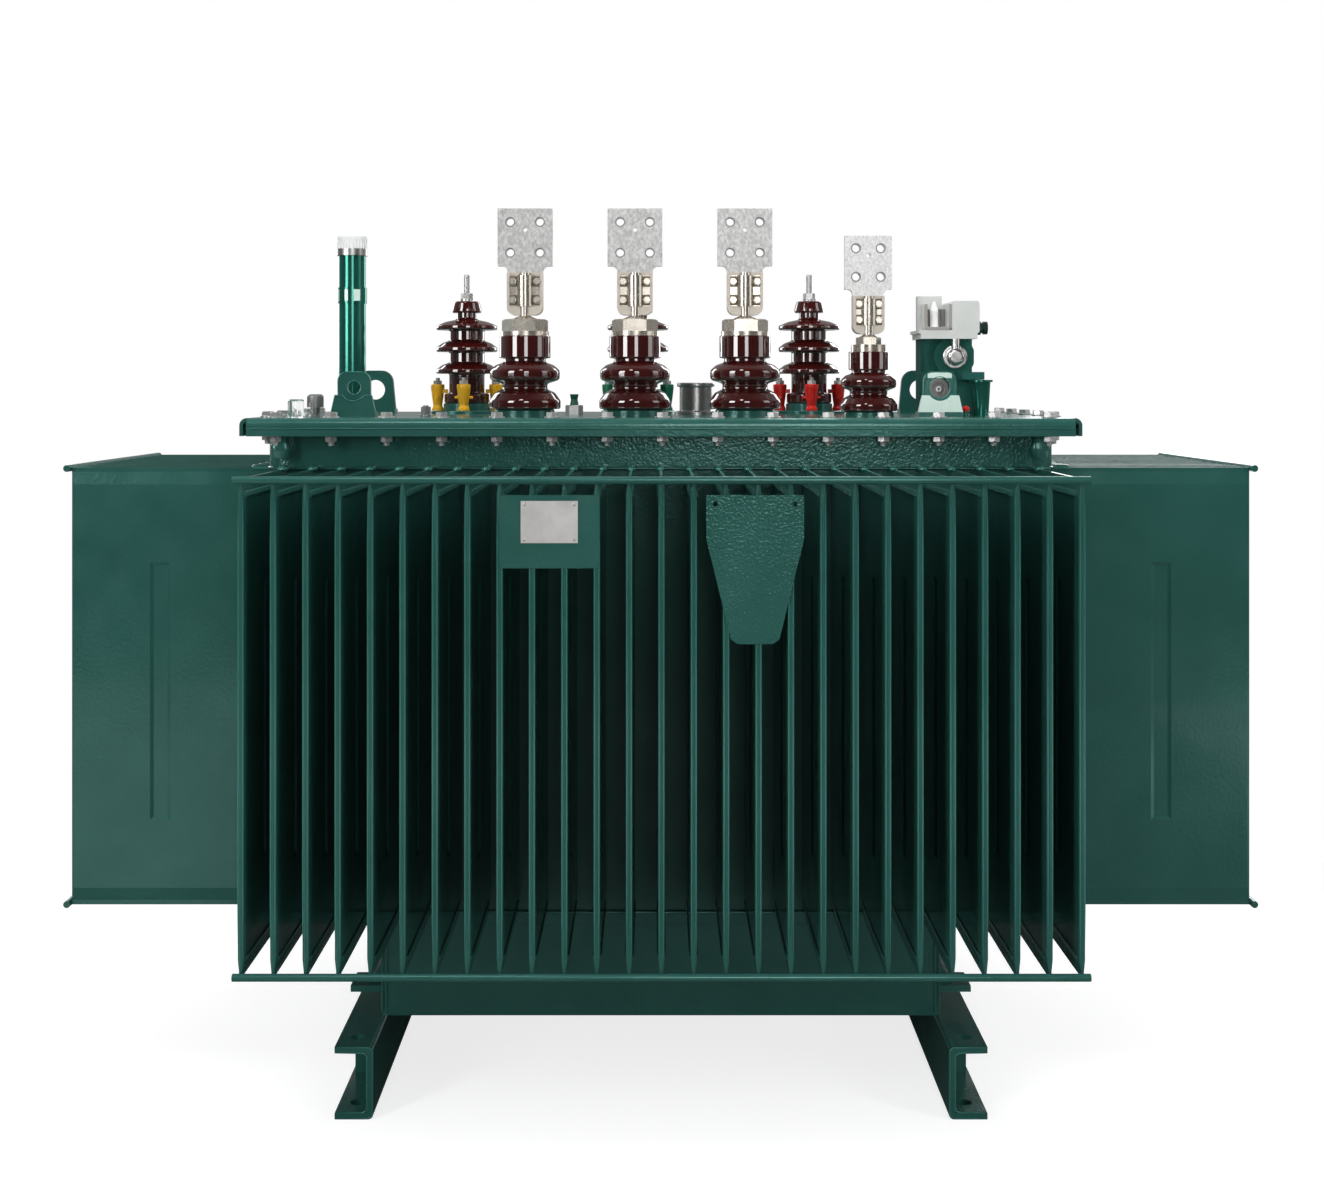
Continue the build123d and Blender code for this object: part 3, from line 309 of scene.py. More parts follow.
def weld(path: Array, outward: Sequence[float], radius: float, seed: Optional[int] = None,
         closed: bool = False, lift: float = 1.0) -> Surface:
    """A weld bead: a round section carried along a path, whose radius swells with each ripple of the torch.

    The section at length s is radius times 1 + ripple(s), a rectified sine of s plus a slow random wave.

    Args:
        path: Points along the bead, evenly spaced, n by 3.
        outward: The surface's outward direction, for the whole path or at each point.
        radius: Mean radius.
        seed: Seed of the slow wave; without one the bead is a plain round edge.
        closed: Whether the path joins its own start.
        lift: Section height as a share of its width.

    Returns:
        The closed bead.
    """
    around, torch_step, torch_swell, slow_swell, end_share = 8, 0.0062, 0.20, 0.16, 0.35
    outward = np.broadcast_to(np.asarray(outward, float), path.shape)
    run = np.roll(path, -1, 0) - np.roll(path, 1, 0)
    if not closed:
        run[0], run[-1] = path[1] - path[0], path[-1] - path[-2]
    run /= np.linalg.norm(run, axis=1)[:, None]
    across = np.cross(run, outward)
    swell = np.full(len(path), radius)
    if seed is not None:
        length = np.concatenate([[0.0], np.cumsum(np.linalg.norm(np.diff(path, axis=0), axis=1))])
        waves = np.array([31.0, 47.0, 83.0, 131.0])
        draw = np.random.default_rng(seed).uniform(0.0, 2 * math.pi, len(waves))
        slow = np.sin(length[:, None] * waves + draw).mean(1)
        torch = np.abs(np.sin(length * (math.pi / torch_step)))
        swell = radius * (1.0 + torch_swell * torch + slow_swell * slow)
    if not closed:
        swell[[0, -1]] *= end_share
    angle = full_turn(around)[None, :, None]
    section = np.cos(angle) * across[:, None, :] + lift * np.sin(angle) * outward[:, None, :]
    rings = path[:, None, :] + swell[:, None, None] * section
    return looped(rings) if closed else capped(rings)


def straight(start: Sequence[float], end: Sequence[float], step: float = BEAD_STEP) -> Array:
    """Evenly spaced points from start to end."""
    a, b = np.asarray(start, float), np.asarray(end, float)
    count = max(int(np.linalg.norm(b - a) / step), 2)
    return a + (b - a) * np.linspace(0.0, 1.0, count)[:, None]


def bent(corners: Sequence[Sequence[float]], radius: float, arc_steps: int = 7) -> Array:
    """A path through corners with each inner one rounded: an arc of the given radius that meets both runs.

    A point of the arc is middle + radius times the unit blend of the directions to both runs' feet.

    Args:
        corners: Corner points.
        radius: Radius at the inner corners.
        arc_steps: Points on each arc.

    Returns:
        Points along the path, n by 3.
    """
    spots = np.asarray(corners, float)
    rows = [spots[:1]]
    for before, here, after in zip(spots[:-2], spots[1:-1], spots[2:]):
        a = (before - here) / np.linalg.norm(before - here)
        b = (after - here) / np.linalg.norm(after - here)
        half = math.acos(float(np.clip(a.dot(b), -1.0, 1.0))) / 2
        reach = radius / math.tan(half)
        middle = here + (a + b) / np.linalg.norm(a + b) * (radius / math.sin(half))
        start, end = here + a * reach - middle, here + b * reach - middle
        share = np.linspace(0.0, 1.0, arc_steps)[:, None]
        blend = start * (1 - share) + end * share
        rows.append(middle + radius * blend / np.linalg.norm(blend, axis=1)[:, None])
    return np.concatenate(rows + [spots[-1:]])


def squared_circle(half_x: float, half_y: float, angle: Array, power: float) -> tuple[Array, Array]:
    """A squared circle's x and y: each half size times the cosine or sine to a power, its sign kept."""
    c, s = np.cos(angle), np.sin(angle)
    return half_x * np.sign(c) * np.abs(c) ** power, half_y * np.sign(s) * np.abs(s) ** power


def strap(path: Array, outward: Sequence[float], width: float, depth: float) -> Surface:
    """A flat strip carried along a path: its section is a squared circle, width across and depth outward.

    Args:
        path: Points along the strip, n by 3.
        outward: Direction that its face looks to.
        width: Width of the strip.
        depth: Thickness of the strip.

    Returns:
        The closed strip.
    """
    around, squareness = 16, 0.25
    run = np.gradient(path, axis=0)
    run /= np.linalg.norm(run, axis=1)[:, None]
    face = np.asarray(outward, float)
    across = np.cross(run, face)
    x, y = squared_circle(width / 2, depth / 2, full_turn(around) + math.pi / around, squareness)
    return capped(path[:, None, :] + x[None, :, None] * across[:, None, :] + y[None, :, None] * face)


def round_loop(half_x: float, half_y: float, corner: float, level: float) -> tuple[Array, Array]:
    """A rounded rectangle in plan, as points and outward directions.

    The point at length s is on a straight run or a corner arc, found from the lengths of the runs up to it.

    Args:
        half_x: Half the length.
        half_y: Half the width.
        corner: Corner radius.
        level: Height.

    Returns:
        The points and the outward directions, each n by 3.
    """
    runs = np.array([half_y, half_x, half_y, half_x]) * 2 - 2 * corner
    arc = corner * math.pi / 2
    total = runs.sum() + 4 * arc
    s = np.linspace(0.0, total, int(total / LOOP_STEP), endpoint=False)
    starts = np.concatenate([[0.0], np.cumsum(runs + arc)])[:4]
    part = np.searchsorted(starts, s, side="right") - 1
    along = s - starts[part]
    turn = np.clip((along - runs[part]) / corner, 0.0, math.pi / 2)
    ahead = np.minimum(along, runs[part])
    heading = part * (math.pi / 2)
    out = np.stack([np.cos(heading + turn), np.sin(heading + turn), np.zeros_like(s)], -1)
    quarter = np.array([[1, -1], [1, 1], [-1, 1], [-1, -1]], float)
    middle = quarter * np.array([half_x - corner, half_y - corner])
    forward = np.stack([-np.sin(heading), np.cos(heading)], -1)
    base = middle[part] + forward * ahead[:, None]
    return np.concatenate([base + corner * out[:, :2], np.full((len(s), 1), level)], 1), out


def fin_row(count: int) -> Array:
    """Places of a row of fins along a wall, from its middle."""
    return (np.arange(count) - (count - 1) / 2) * FIN_PITCH


# Finishes


def fill(tree: Tree, made: bpy.types.Node, inputs: dict[str | int, object]) -> None:
    """Fills a node's inputs: a socket is linked, and any other value is set on the input itself."""
    for key, value in inputs.items():
        if isinstance(value, Socket):
            tree.links.new(value, made.inputs[key])
        else:
            made.inputs[key].default_value = value


def node(tree: Tree, kind: str, inputs: dict[str | int, object]) -> bpy.types.Node:
    """Adds a shader node.

    Args:
        tree: The nodes that it joins.
        kind: Its type, after "ShaderNode".
        inputs: Sockets and values by input.

    Returns:
        The new node.
    """
    made = tree.nodes.new("ShaderNode" + kind)
    fill(tree, made, inputs)
    return made


def product(tree: Tree, first: Socket, second: Socket | float) -> Socket:
    """The first value times the second."""
    made = node(tree, "Math", {0: first, 1: second})
    made.operation = "MULTIPLY"
    return made.outputs["Value"]


def span(tree: Tree, value: Socket, start: tuple[float, float], end: tuple[float, float],
         smooth: bool = False) -> Socket:
    """Maps a value from one range to another.

    Args:
        tree: The nodes that it joins.
        value: The value to map.
        start: The range that it comes from.
        end: The range that it goes to.
        smooth: Whether it eases in and out.

    Returns:
        The mapped value.
    """
    made = node(tree, "MapRange", {"Value": value, "From Min": start[0], "From Max": start[1],
                                   "To Min": end[0], "To Max": end[1]})
    made.interpolation_type = "SMOOTHSTEP" if smooth else "LINEAR"
    return made.outputs["Result"]


class Grain(Enum):
    """How a finish breaks up."""

    PEEL = "peel"
    MOTTLE = "mottle"
    BRUSHED = "brushed"
    CAST = "cast"
    SMOOTH = "smooth"


@dataclass(frozen=True)
class Finish:
    """A procedural finish on Object coordinates.

    Attributes:
        name: Material name.
        slot: The record's slot it stands for.
        colour: Main colour, linear.
        second: Colour it drifts to.
        grain: How it breaks up.
        scale: Size of the drift, in waves a metre.
        rough: Lowest and highest roughness.
        metallic: Share of metal.
        bump: Depth of the fine relief, in metres.
        bump_scale: Waves a metre of the fine relief.
        coat: Weight of the clear coat.
        transmission: Share of light let through.
        ior: Index of refraction.
        below: A height, and the colour that the metal has under it.
    """

    name: str
    slot: str
    colour: Colour
    second: Colour
    grain: Grain = Grain.SMOOTH
    scale: float = 9.0
    rough: tuple[float, float] = (0.2, 0.3)
    metallic: float = 0.0
    bump: float = 0.0001
    bump_scale: float = 220.0
    coat: float = 0.0
    transmission: float = 0.0
    ior: float = 1.5
    below: Optional[tuple[float, Colour]] = None

    def material(self) -> bpy.types.Material:
        """Builds the material once and returns it.

        Returns:
            The material: a drift between two colours, a roughness that wanders by another wave, and a relief.
        """
        found = bpy.data.materials.get(self.name)
        if found is not None:
            return found
        coat_rough, wander_rate, drift_detail, wander_detail = 0.05, 2.7, 4.0, 3.0
        drift_span, wander_span = (0.32, 0.68), (0.3, 0.7)
        made = bpy.data.materials.new(self.name)
        made.use_nodes = True
        tree = made.node_tree
        place = node(tree, "TexCoord", {}).outputs["Object"]
        drift = self._wave(tree, self._drawn(tree, place), self.scale, drift_detail)
        ramp = node(tree, "ValToRGB", {"Fac": drift})
        for stop, position, colour in zip(ramp.color_ramp.elements, drift_span, (self.colour, self.second)):
            stop.position, stop.color = position, (*colour, 1.0)
        wander = self._wave(tree, place, self.scale * wander_rate, wander_detail)
        shader = tree.nodes["Principled BSDF"]
        fill(tree, shader, {
            "Base Color": self._stepped(tree, place, ramp.outputs["Color"]), "Metallic": self.metallic,
            "Roughness": span(tree, wander, wander_span, self.rough), "IOR": self.ior,
            "Coat Weight": self.coat, "Coat Roughness": coat_rough, "Transmission Weight": self.transmission,
        })
        if self.bump > 0.0:
            height = self._relief(tree, place)
            relief = node(tree, "Bump", {"Strength": 1.0, "Distance": self.bump, "Height": height})
            fill(tree, shader, {"Normal": relief.outputs["Normal"]})
        return made

    def _drawn(self, tree: Tree, place: Socket) -> Socket:
        """The place that the colour drift reads: drawn out upright on a mottled casting."""
        if self.grain is not Grain.MOTTLE:
            return place
        return node(tree, "Mapping", {"Vector": place, "Scale": (1.0, 1.0, 0.7)}).outputs["Vector"]

    def _stepped(self, tree: Tree, place: Socket, colour: Socket) -> Socket:
        """Changes the colour under a height, where the finish says so.

        Args:
            tree: The material's nodes.
            place: Object coordinates.
            colour: The colour above the height.

        Returns:
            The colour all over.
        """
        if self.below is None:
            return colour
        level, under = self.below
        blur = 0.5 * MM
        height = node(tree, "SeparateXYZ", {"Vector": place}).outputs["Z"]
        both = node(tree, "Mix", {})
        both.data_type = "RGBA"
        step = span(tree, height, (level - blur, level + blur), (0.0, 1.0))
        fill(tree, both, {"Factor": step, 6: (*under, 1.0), 7: colour})
        return both.outputs[2]

    def _wave(self, tree: Tree, place: Socket, scale: float, detail: float) -> Socket:
        """A noise wave of the given scale."""
        return node(tree, "TexNoise", {"Vector": place, "Scale": scale, "Detail": detail}).outputs["Fac"]

    def _relief(self, tree: Tree, place: Socket) -> Socket:
        """The fine relief that suits the grain."""
        if self.grain is Grain.BRUSHED:
            turn = node(tree, "Mapping", {"Vector": place, "Scale": (0.03, 1.0, 1.0)})
            return self._wave(tree, turn.outputs["Vector"], self.bump_scale, 2.0)
        if self.grain is Grain.MOTTLE:
            return node(tree, "TexVoronoi", {"Vector": place, "Scale": self.bump_scale}).outputs["Distance"]
        return self._wave(tree, place, self.bump_scale, 6.0 if self.grain is Grain.CAST else 1.0)


class Finishes:
    """Every finish of the transformer. The first one of a slot is the slot's own."""

    ENAMEL = Finish("gloss_enamel", "tank_paint", (0.026, 0.122, 0.102), (0.034, 0.144, 0.122),
                    Grain.PEEL, 7.0, (0.16, 0.26), 0.28, 0.0003, 150.0, 0.2)
    # Pale paint of the saddle; the same finish also draws painted highlights and painted reflections on the
    # right eye and the filler band.
    PALE = Finish("pale_enamel", "pale_paint", (0.70, 0.88, 0.80), (0.77, 0.93, 0.86),
                  Grain.PEEL, 20.0, (0.2, 0.3), 0.0, 0.0001, 190.0, 0.2)
    GLAZE = Finish("brown_glaze", "porcelain", (0.040, 0.0045, 0.0040), (0.054, 0.0064, 0.0054),
                   Grain.PEEL, 16.0, (0.03, 0.06), 0.0, 0.00004, 60.0, 0.4, 0.0, 2.1)
    NICKEL = Finish("nickel_plate", "nickel", (0.62, 0.565, 0.49), (0.72, 0.67, 0.595),
                    Grain.CAST, 22.0, (0.20, 0.30), 0.86, 0.0)
    TINNED = Finish("tinned_casting", "tinned_alloy", (0.43, 0.43, 0.425), (0.70, 0.70, 0.69),
                    Grain.MOTTLE, 210.0, (0.36, 0.52), 0.3, 0.00006, 420.0)
    ZINC = Finish("zinc_plate", "zinc_steel", (0.60, 0.60, 0.59), (0.70, 0.70, 0.69),
                  Grain.CAST, 60.0, (0.30, 0.40), 0.8, 0.00001, 500.0)
    STAINLESS = Finish("stainless_steel", "stainless", (0.50, 0.50, 0.49), (0.60, 0.60, 0.59),
                       Grain.BRUSHED, 30.0, (0.28, 0.38), 1.0, 0.00005, 900.0)
    WHITE = Finish("white_plastic", "white_cap", (0.91, 0.92, 0.91), (0.94, 0.945, 0.94),
                   Grain.CAST, 30.0, (0.5, 0.6), 0.0, 0.00002, 350.0, ior=1.3)
    CLEAR = Finish("clear_moulding", "clear_cup", (0.92, 0.95, 0.94), (0.95, 0.97, 0.96),
                   Grain.SMOOTH, 20.0, (0.02, 0.06), 0.0, 0.00004, 60.0, 0.0, 0.92, 1.47)
    SHELL = Finish("grey_moulding", "relay_shell", (0.68, 0.70, 0.68), (0.75, 0.765, 0.745),
                   Grain.CAST, 24.0, (0.3, 0.42), 0.0, 0.00006, 520.0)
    GLAND = Finish("dark_gland", "gland_black", (0.06, 0.10, 0.085), (0.09, 0.14, 0.12),
                   Grain.CAST, 40.0, (0.12, 0.2), 0.8, 0.00002, 500.0)
    YELLOW = Finish("yellow_phase", "phase_yellow", (0.80, 0.40, 0.008), (0.88, 0.47, 0.012),
                    Grain.PEEL, 50.0, (0.25, 0.36), 0.0, 0.0001, 260.0)
    GREEN = Finish("green_phase", "phase_green", (0.006, 0.145, 0.075), (0.010, 0.185, 0.095),
                   Grain.PEEL, 50.0, (0.25, 0.36), 0.0, 0.0001, 260.0)
    RED = Finish("red_phase", "phase_red", (0.66, 0.012, 0.008), (0.76, 0.018, 0.012),
                 Grain.PEEL, 50.0, (0.25, 0.36), 0.0, 0.0001, 260.0)
    PLATE = Finish("satin_plate", "plate_alloy", (0.62, 0.61, 0.60), (0.74, 0.73, 0.72),
                   Grain.BRUSHED, 40.0, (0.3, 0.42), 0.5, 0.00004, 1400.0)
    PLUG = Finish("grey_plug", "plug_grey", (0.22, 0.225, 0.22), (0.30, 0.305, 0.30),
                  Grain.CAST, 60.0, (0.3, 0.45), 0.6, 0.00008, 420.0)

    KNOB = Finish("bright_knob", "nickel", (0.66, 0.66, 0.65), (0.74, 0.74, 0.73),
                  Grain.CAST, 40.0, (0.16, 0.26), 0.95, 0.00003, 500.0)
    # Painted shade: a dark nickel for pads behind the clamp bolts, standing in for the shade in the clamp
    # recesses.
    CLAMP_SHADE = Finish("shadowed_nickel", "nickel", (0.13, 0.10, 0.072), (0.19, 0.15, 0.11),
                  Grain.CAST, 60.0, (0.4, 0.5), 0.4, 0.00002, 420.0)
    DISC = Finish("grey_disc", "plug_grey", (0.24, 0.23, 0.225), (0.30, 0.29, 0.28),
                  Grain.CAST, 40.0, (0.3, 0.45), 0.2, 0.00006, 420.0)
    # Painted shade: a dark grey for the panel inside the relay cradle, where its inside lies in shadow.
    CRADLE_SHADE = Finish("tray_grey", "relay_shell", (0.20, 0.205, 0.20), (0.25, 0.255, 0.25),
                  Grain.CAST, 24.0, (0.3, 0.42), 0.0, 0.00006, 520.0)
    CRADLE = Finish("cradle_grey", "relay_shell", (0.33, 0.315, 0.295), (0.39, 0.375, 0.355),
                    Grain.CAST, 24.0, (0.3, 0.42), 0.0, 0.00004, 520.0)
    CUP = Finish("dark_green_cup", "phase_green", (0.006, 0.105, 0.062), (0.010, 0.125, 0.075),
                 Grain.PEEL, 50.0, (0.15, 0.25), 0.0, 0.00006, 260.0)
    SATIN = Finish("satin_enamel", "tank_paint", (0.018, 0.105, 0.084), (0.024, 0.125, 0.102),
                   Grain.PEEL, 12.0, (0.6, 0.7), 0.0, 0.0002, 210.0, 0.0, 0.0, 1.2)
    TUBE = Finish("bright_enamel", "tank_paint", (0.028, 0.19, 0.145), (0.034, 0.22, 0.17),
                  Grain.SMOOTH, 9.0, (0.10, 0.15), 0.7, 0.0)
    # Painted highlight: a lighter teal than the enamel for rounded edges and weld beads, standing in for the
    # light lines they catch.
    EDGE_HIGHLIGHT = Finish("edge_enamel", "tank_paint", (0.050, 0.215, 0.182), (0.060, 0.245, 0.210),
                  Grain.SMOOTH, 7.0, (0.14, 0.22), 0.4, 0.0, coat=0.2)
    COARSE = Finish("coarse_enamel", "tank_paint", ENAMEL.colour, ENAMEL.second,
                    Grain.PEEL, 7.0, (0.12, 0.2), 0.28, 0.0006, 230.0, 0.2)
    LV_TERMINAL = Finish("lv_terminal_metal", "tinned_alloy", TINNED.colour, TINNED.second,
                         Grain.MOTTLE, 210.0, (0.34, 0.5), 0.4, 0.00006, 420.0, below=(1.4195, NICKEL.colour))
    NEUTRAL_TERMINAL = Finish("neutral_terminal_metal", "tinned_alloy",
                              (0.62, 0.62, 0.615), (0.88, 0.88, 0.875), Grain.MOTTLE, 260.0,
                              (0.34, 0.5), 0.35, 0.00004, 420.0, below=(1.377, NICKEL.colour))

    OVERRIDES = {
        "filler_pipe": TUBE, "relay_pipe": TUBE, "relay_body": SATIN, "relay_knob": KNOB, "vent_cup": CUP,
        "shield_plate": COARSE, "tank_neck": COARSE, "lv_flags": LV_TERMINAL,
        "neutral_flag": NEUTRAL_TERMINAL,
    }

    @classmethod
    def by_slot(cls) -> dict[str, Finish]:
        """The slots' own finishes, keyed by slot."""
        made: dict[str, Finish] = {}
        for finish in vars(cls).values():
            if isinstance(finish, Finish):
                made.setdefault(finish.slot, finish)
        return made


# Sub-assemblies


@dataclass
class CoverBolts:
    """Hexagon bolts round the cover, with washers above and nuts and thread ends below the flange."""

    row_y: float = 347 * MM
    row_x: float = 699 * MM
    first_x: float = -662 * MM
    last_x: float = 668 * MM
    reach_y: float = 244 * MM
    along: int = 15
    across: int = 5
    head_flat: float = 9.5 * MM
    head_height: float = 7.5 * MM
    washer_radius: float = 13.5 * MM
    washer_height: float = 2.4 * MM
    washer_low_edge: float = 0.6 * MM
    washer_top_edge: float = 0.5 * MM
    nut_height: float = 10.5 * MM
    flange_thickness: float = 12 * MM
    cover_thickness: float = 6 * MM
    shank: float = 6 * MM
    tail: float = 30 * MM
    thread_pitch: float = 1.75 * MM
    thread_depth: float = 0.9 * MM

    def places(self, level: float) -> Array:
        """Places of the bolts.

        Args:
            level: Their height.

        Returns:
            Two rows along the long sides and two across the ends, n by 3.
        """
        x = np.linspace(self.first_x, self.last_x, self.along)
        y = np.linspace(-self.reach_y, self.reach_y, self.across)
        rows = [np.stack([x, np.full_like(x, s * self.row_y)], -1) for s in SIDES]
        ends = [np.stack([np.full_like(y, s * self.row_x), y], -1) for s in SIDES]
        plan = np.concatenate(rows + ends)
        return np.concatenate([plan, np.full((len(plan), 1), level)], 1)

    def washer(self) -> Surface:
        """A flat washer with broken edges."""
        r, top = self.washer_radius, self.washer_height
        low_edge, top_edge = self.washer_low_edge, self.washer_top_edge
        return lathe([(r - low_edge, 0), (r, low_edge), (r, top - top_edge), (r - top_edge, top)], 24)

    def build(self) -> None:
        """Makes the heads, washers, nuts and thread ends."""
        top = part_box("cover")[1].z
        above = self.places(top)
        below = self.places(top - self.cover_thickness - self.flange_thickness)
        disc = self.washer()
        head = hexagon(self.head_flat, self.head_height).moved((0, 0, self.washer_height))
        disc.at(above).to_object("cover_bolt_washers", Finishes.ZINC)
        head.at(above).to_object("cover_bolt_heads", Finishes.ZINC)
        low_disc = disc.moved((0, 0, -self.washer_height))
        nut = hexagon(self.head_flat, self.nut_height, both=True)
        first = nut.moved((0, 0, -self.washer_height - self.nut_height))
        second = first.moved((0, 0, -self.nut_height))
        rod = thread(self.shank, self.tail, self.thread_pitch, self.thread_depth, 16).aimed(DOWN)
        Surface.joined([low_disc, first, second]).at(below).to_object("cover_nuts", Finishes.ZINC)
        rod.at(below).to_object("cover_bolt_ends", Finishes.ZINC, Crease.THREAD)


@dataclass
class LowVoltageFittings:
    """Clamp bolts of the low-voltage and neutral terminals, and dark pads under them that are painted shade
    of the clamp recesses.
    """

    spread_x: float = 22.0 * MM
    head_flat: float = 5.6 * MM
    head_height: float = 5.0 * MM
    washer_radius: float = 7.0 * MM
    washer_height: float = 1.4 * MM
    washer_edge: float = 0.4 * MM
    level_shares: tuple[float, float] = (0.20, 0.80)
    edge_share: float = 0.9
    cap_half: float = 27 * MM
    cap_thickness: float = 5.0 * MM
    shade_pad_width: float = 15.0 * MM
    shade_pad_height: float = 19.0 * MM
    shade_pad_depth: float = 1.6 * MM

    def places(self, node_name: str, count: int) -> Array:
        """Places of the bolts on a node's clamps.

        Args:
            node_name: The clamps' node.
            count: How many clamps it has.

        Returns:
            Four places on each clamp's front face, n by 3.
        """
        low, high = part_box(node_name)
        half = (high.x - low.x) / 2 if count == 1 else self.cap_half
        middles = np.linspace(low.x + half, high.x - half, count)
        spread = min(self.spread_x, half - self.head_flat * self.edge_share)
        return np.array([(x + s * spread, high.y - self.cap_thickness, low.z + v * (high.z - low.z))
                         for x in middles for s in SIDES for v in self.level_shares])

    def build(self) -> None:
        """Makes four bolts on each clamp's front half, each over a dark pad of painted shade."""
        r, top, reach = self.washer_radius, self.washer_height, self.shade_pad_height / 2
        disc = lathe([(r, 0), (r, top - self.washer_edge), (r - self.washer_edge, top)], 20)
        head = hexagon(self.head_flat, self.head_height).moved((0, 0, top))
        run = straight((0, 0, -reach), (0, 0, reach), STRIP_STEP)
        pad = strap(run, FRONT, self.shade_pad_width, self.shade_pad_depth)
        spots = np.concatenate([self.places("lv_clamps", 3), self.places("neutral_clamp", 1)])
        Surface.joined([disc, head]).aimed(FRONT).at(spots).to_object("terminal_clamp_bolts", Finishes.NICKEL)
        # Each dark pad is painted shade of the recess behind a bolt.
        pad.at(spots).to_object("terminal_clamp_seats", Finishes.CLAMP_SHADE)


@dataclass
class HighVoltageFittings:
    """Nuts on the foot clamps and threads on the terminal studs."""

    clamp_circle: float = 58 * MM
    nut_flat: float = 8.0 * MM
    nut_height: float = 7.5 * MM
    rod: float = 4.8 * MM
    rod_height: float = 13 * MM
    rod_pitch: float = 1.5 * MM
    rod_depth: float = 0.8 * MM
    stud: float = 6.15 * MM
    stud_pitch: float = 2.5 * MM
    stud_depth: float = 0.18 * MM
    stud_nut_half: float = 14 * MM
    stud_nut_height: float = 15 * MM

    def build(self) -> None:
        """Makes a nut and a thread end over each clamp, and a thread over each stud."""
        places = []
        turn = full_turn(4)
        for name in ("hv_clamps_left", "hv_clamps_middle", "hv_clamps_right"):
            low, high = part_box(name)
            ring = rings_about_z(self.clamp_circle, high.z, turn)
            places.append(ring + [(low.x + high.x) / 2, (low.y + high.y) / 2, 0.0])
        nut = hexagon(self.nut_flat, self.nut_height, both=True)
        rod = thread(self.rod, self.rod_height, self.rod_pitch, self.rod_depth, 16)
        Surface.joined([nut, rod]).at(np.concatenate(places)).to_object("hv_clamp_nuts", Finishes.ZINC)
        low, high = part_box("hv_studs")
        x = np.linspace(low.x + self.stud_nut_half, high.x - self.stud_nut_half, 3)
        foot = low.z + self.stud_nut_height
        base = np.stack([x, np.full(3, (low.y + high.y) / 2), np.full(3, foot)], -1)
        screw = thread(self.stud, high.z - foot, self.stud_pitch, self.stud_depth, 28)
        screw.at(base).to_object("hv_stud_threads", Finishes.ZINC, Crease.THREAD)


@dataclass
class WeldBeads:
    """Beads round the tank's neck and floor, at the fin roots and on the base. The fin root beads take a
    lighter enamel, a painted highlight of their sparkle.
    """

    radius: float = 2.6 * MM
    half_x: float = 686 * MM
    half_y: float = 324 * MM
    corner: float = 40 * MM
    root_length: float = 34 * MM
    root_radius: float = 6.5 * MM
    root_lift: float = 0.7
    base_radius: float = 2.2 * MM
    plate_thickness: float = 7 * MM
    plate_low_end: float = 5 * MM
    plate_top_end: float = 4 * MM
    beam_end: float = 8 * MM

    def build(self) -> None:
        """Makes the beads."""
        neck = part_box("tank_neck")[0].z
        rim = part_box("tank_floor")[1].z
        loops = []
        for k, level in enumerate((neck, rim)):
            path, out = round_loop(self.half_x, self.half_y, self.corner, level)
            loops.append(weld(path, out, self.radius, Seed.TANK_LOOP + k, closed=True))
        Surface.joined(loops).to_object("tank_weld_beads", Finishes.ENAMEL, Crease.BEAD)
        # Lighter enamel on the fin root beads is a painted highlight.
        self.fin_roots(neck).to_object("fin_root_welds", Finishes.EDGE_HIGHLIGHT, Crease.BEAD)
        self.base_runs().to_object("base_weld_beads", Finishes.ENAMEL, Crease.BEAD)

    def fin_roots(self, level: float) -> Surface:
        """A short bead over each fin's root under the neck.

        Args:
            level: Height of the fins' tops.

        Returns:
            All the short beads.
        """
        along, across = np.array([1.0, 0.0, 0.0]), np.array([0.0, 1.0, 0.0])
        parts = []
        for k, sign in enumerate(SIDES):
            for out, row, half, count, seed in (
                (across, along, self.half_y, LONG_SIDE_FINS, Seed.LONG_ROOT + k),
                (along, across, self.half_x, END_FINS, Seed.END_ROOT + k),
            ):
                root = np.array([0.0, 0.0, level]) + out * (sign * half)
                run = straight(root, root + out * (sign * self.root_length), LOOP_STEP)
                bead = weld(run, UP, self.root_radius, seed, lift=self.root_lift)
                parts.append(bead.at(fin_row(count)[:, None] * row))
        return Surface.joined(parts)

    def base_runs(self) -> Surface:
        """Upright beads on the end plates and level ones where the beams meet the floor.

        Returns:
            All the beads of the base.
        """
        low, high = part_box("beam_end_plates")
        parts = []
        for k, (sx, sy) in enumerate(CORNERS):
            out = np.array([sx, sy, 0.0]) / math.sqrt(2.0)
            for depth, seed in ((0.0, Seed.PLATE_OUTER + k), (self.plate_thickness, Seed.PLATE_INNER + k)):
                x, y = sx * (high.x - depth), sy * high.y
                run = straight((x, y, low.z + self.plate_low_end), (x, y, high.z - self.plate_top_end))
                parts.append(weld(run, out, self.base_radius, seed))
        for k, sy in enumerate(SIDES):
            out = np.array([0.0, sy, -1.0]) / math.sqrt(2.0)
            y = sy * high.y
            run = straight((low.x + self.beam_end, y, high.z), (high.x - self.beam_end, y, high.z))
            parts.append(weld(run, out, self.base_radius, Seed.BEAM + k))
        return Surface.joined(parts)


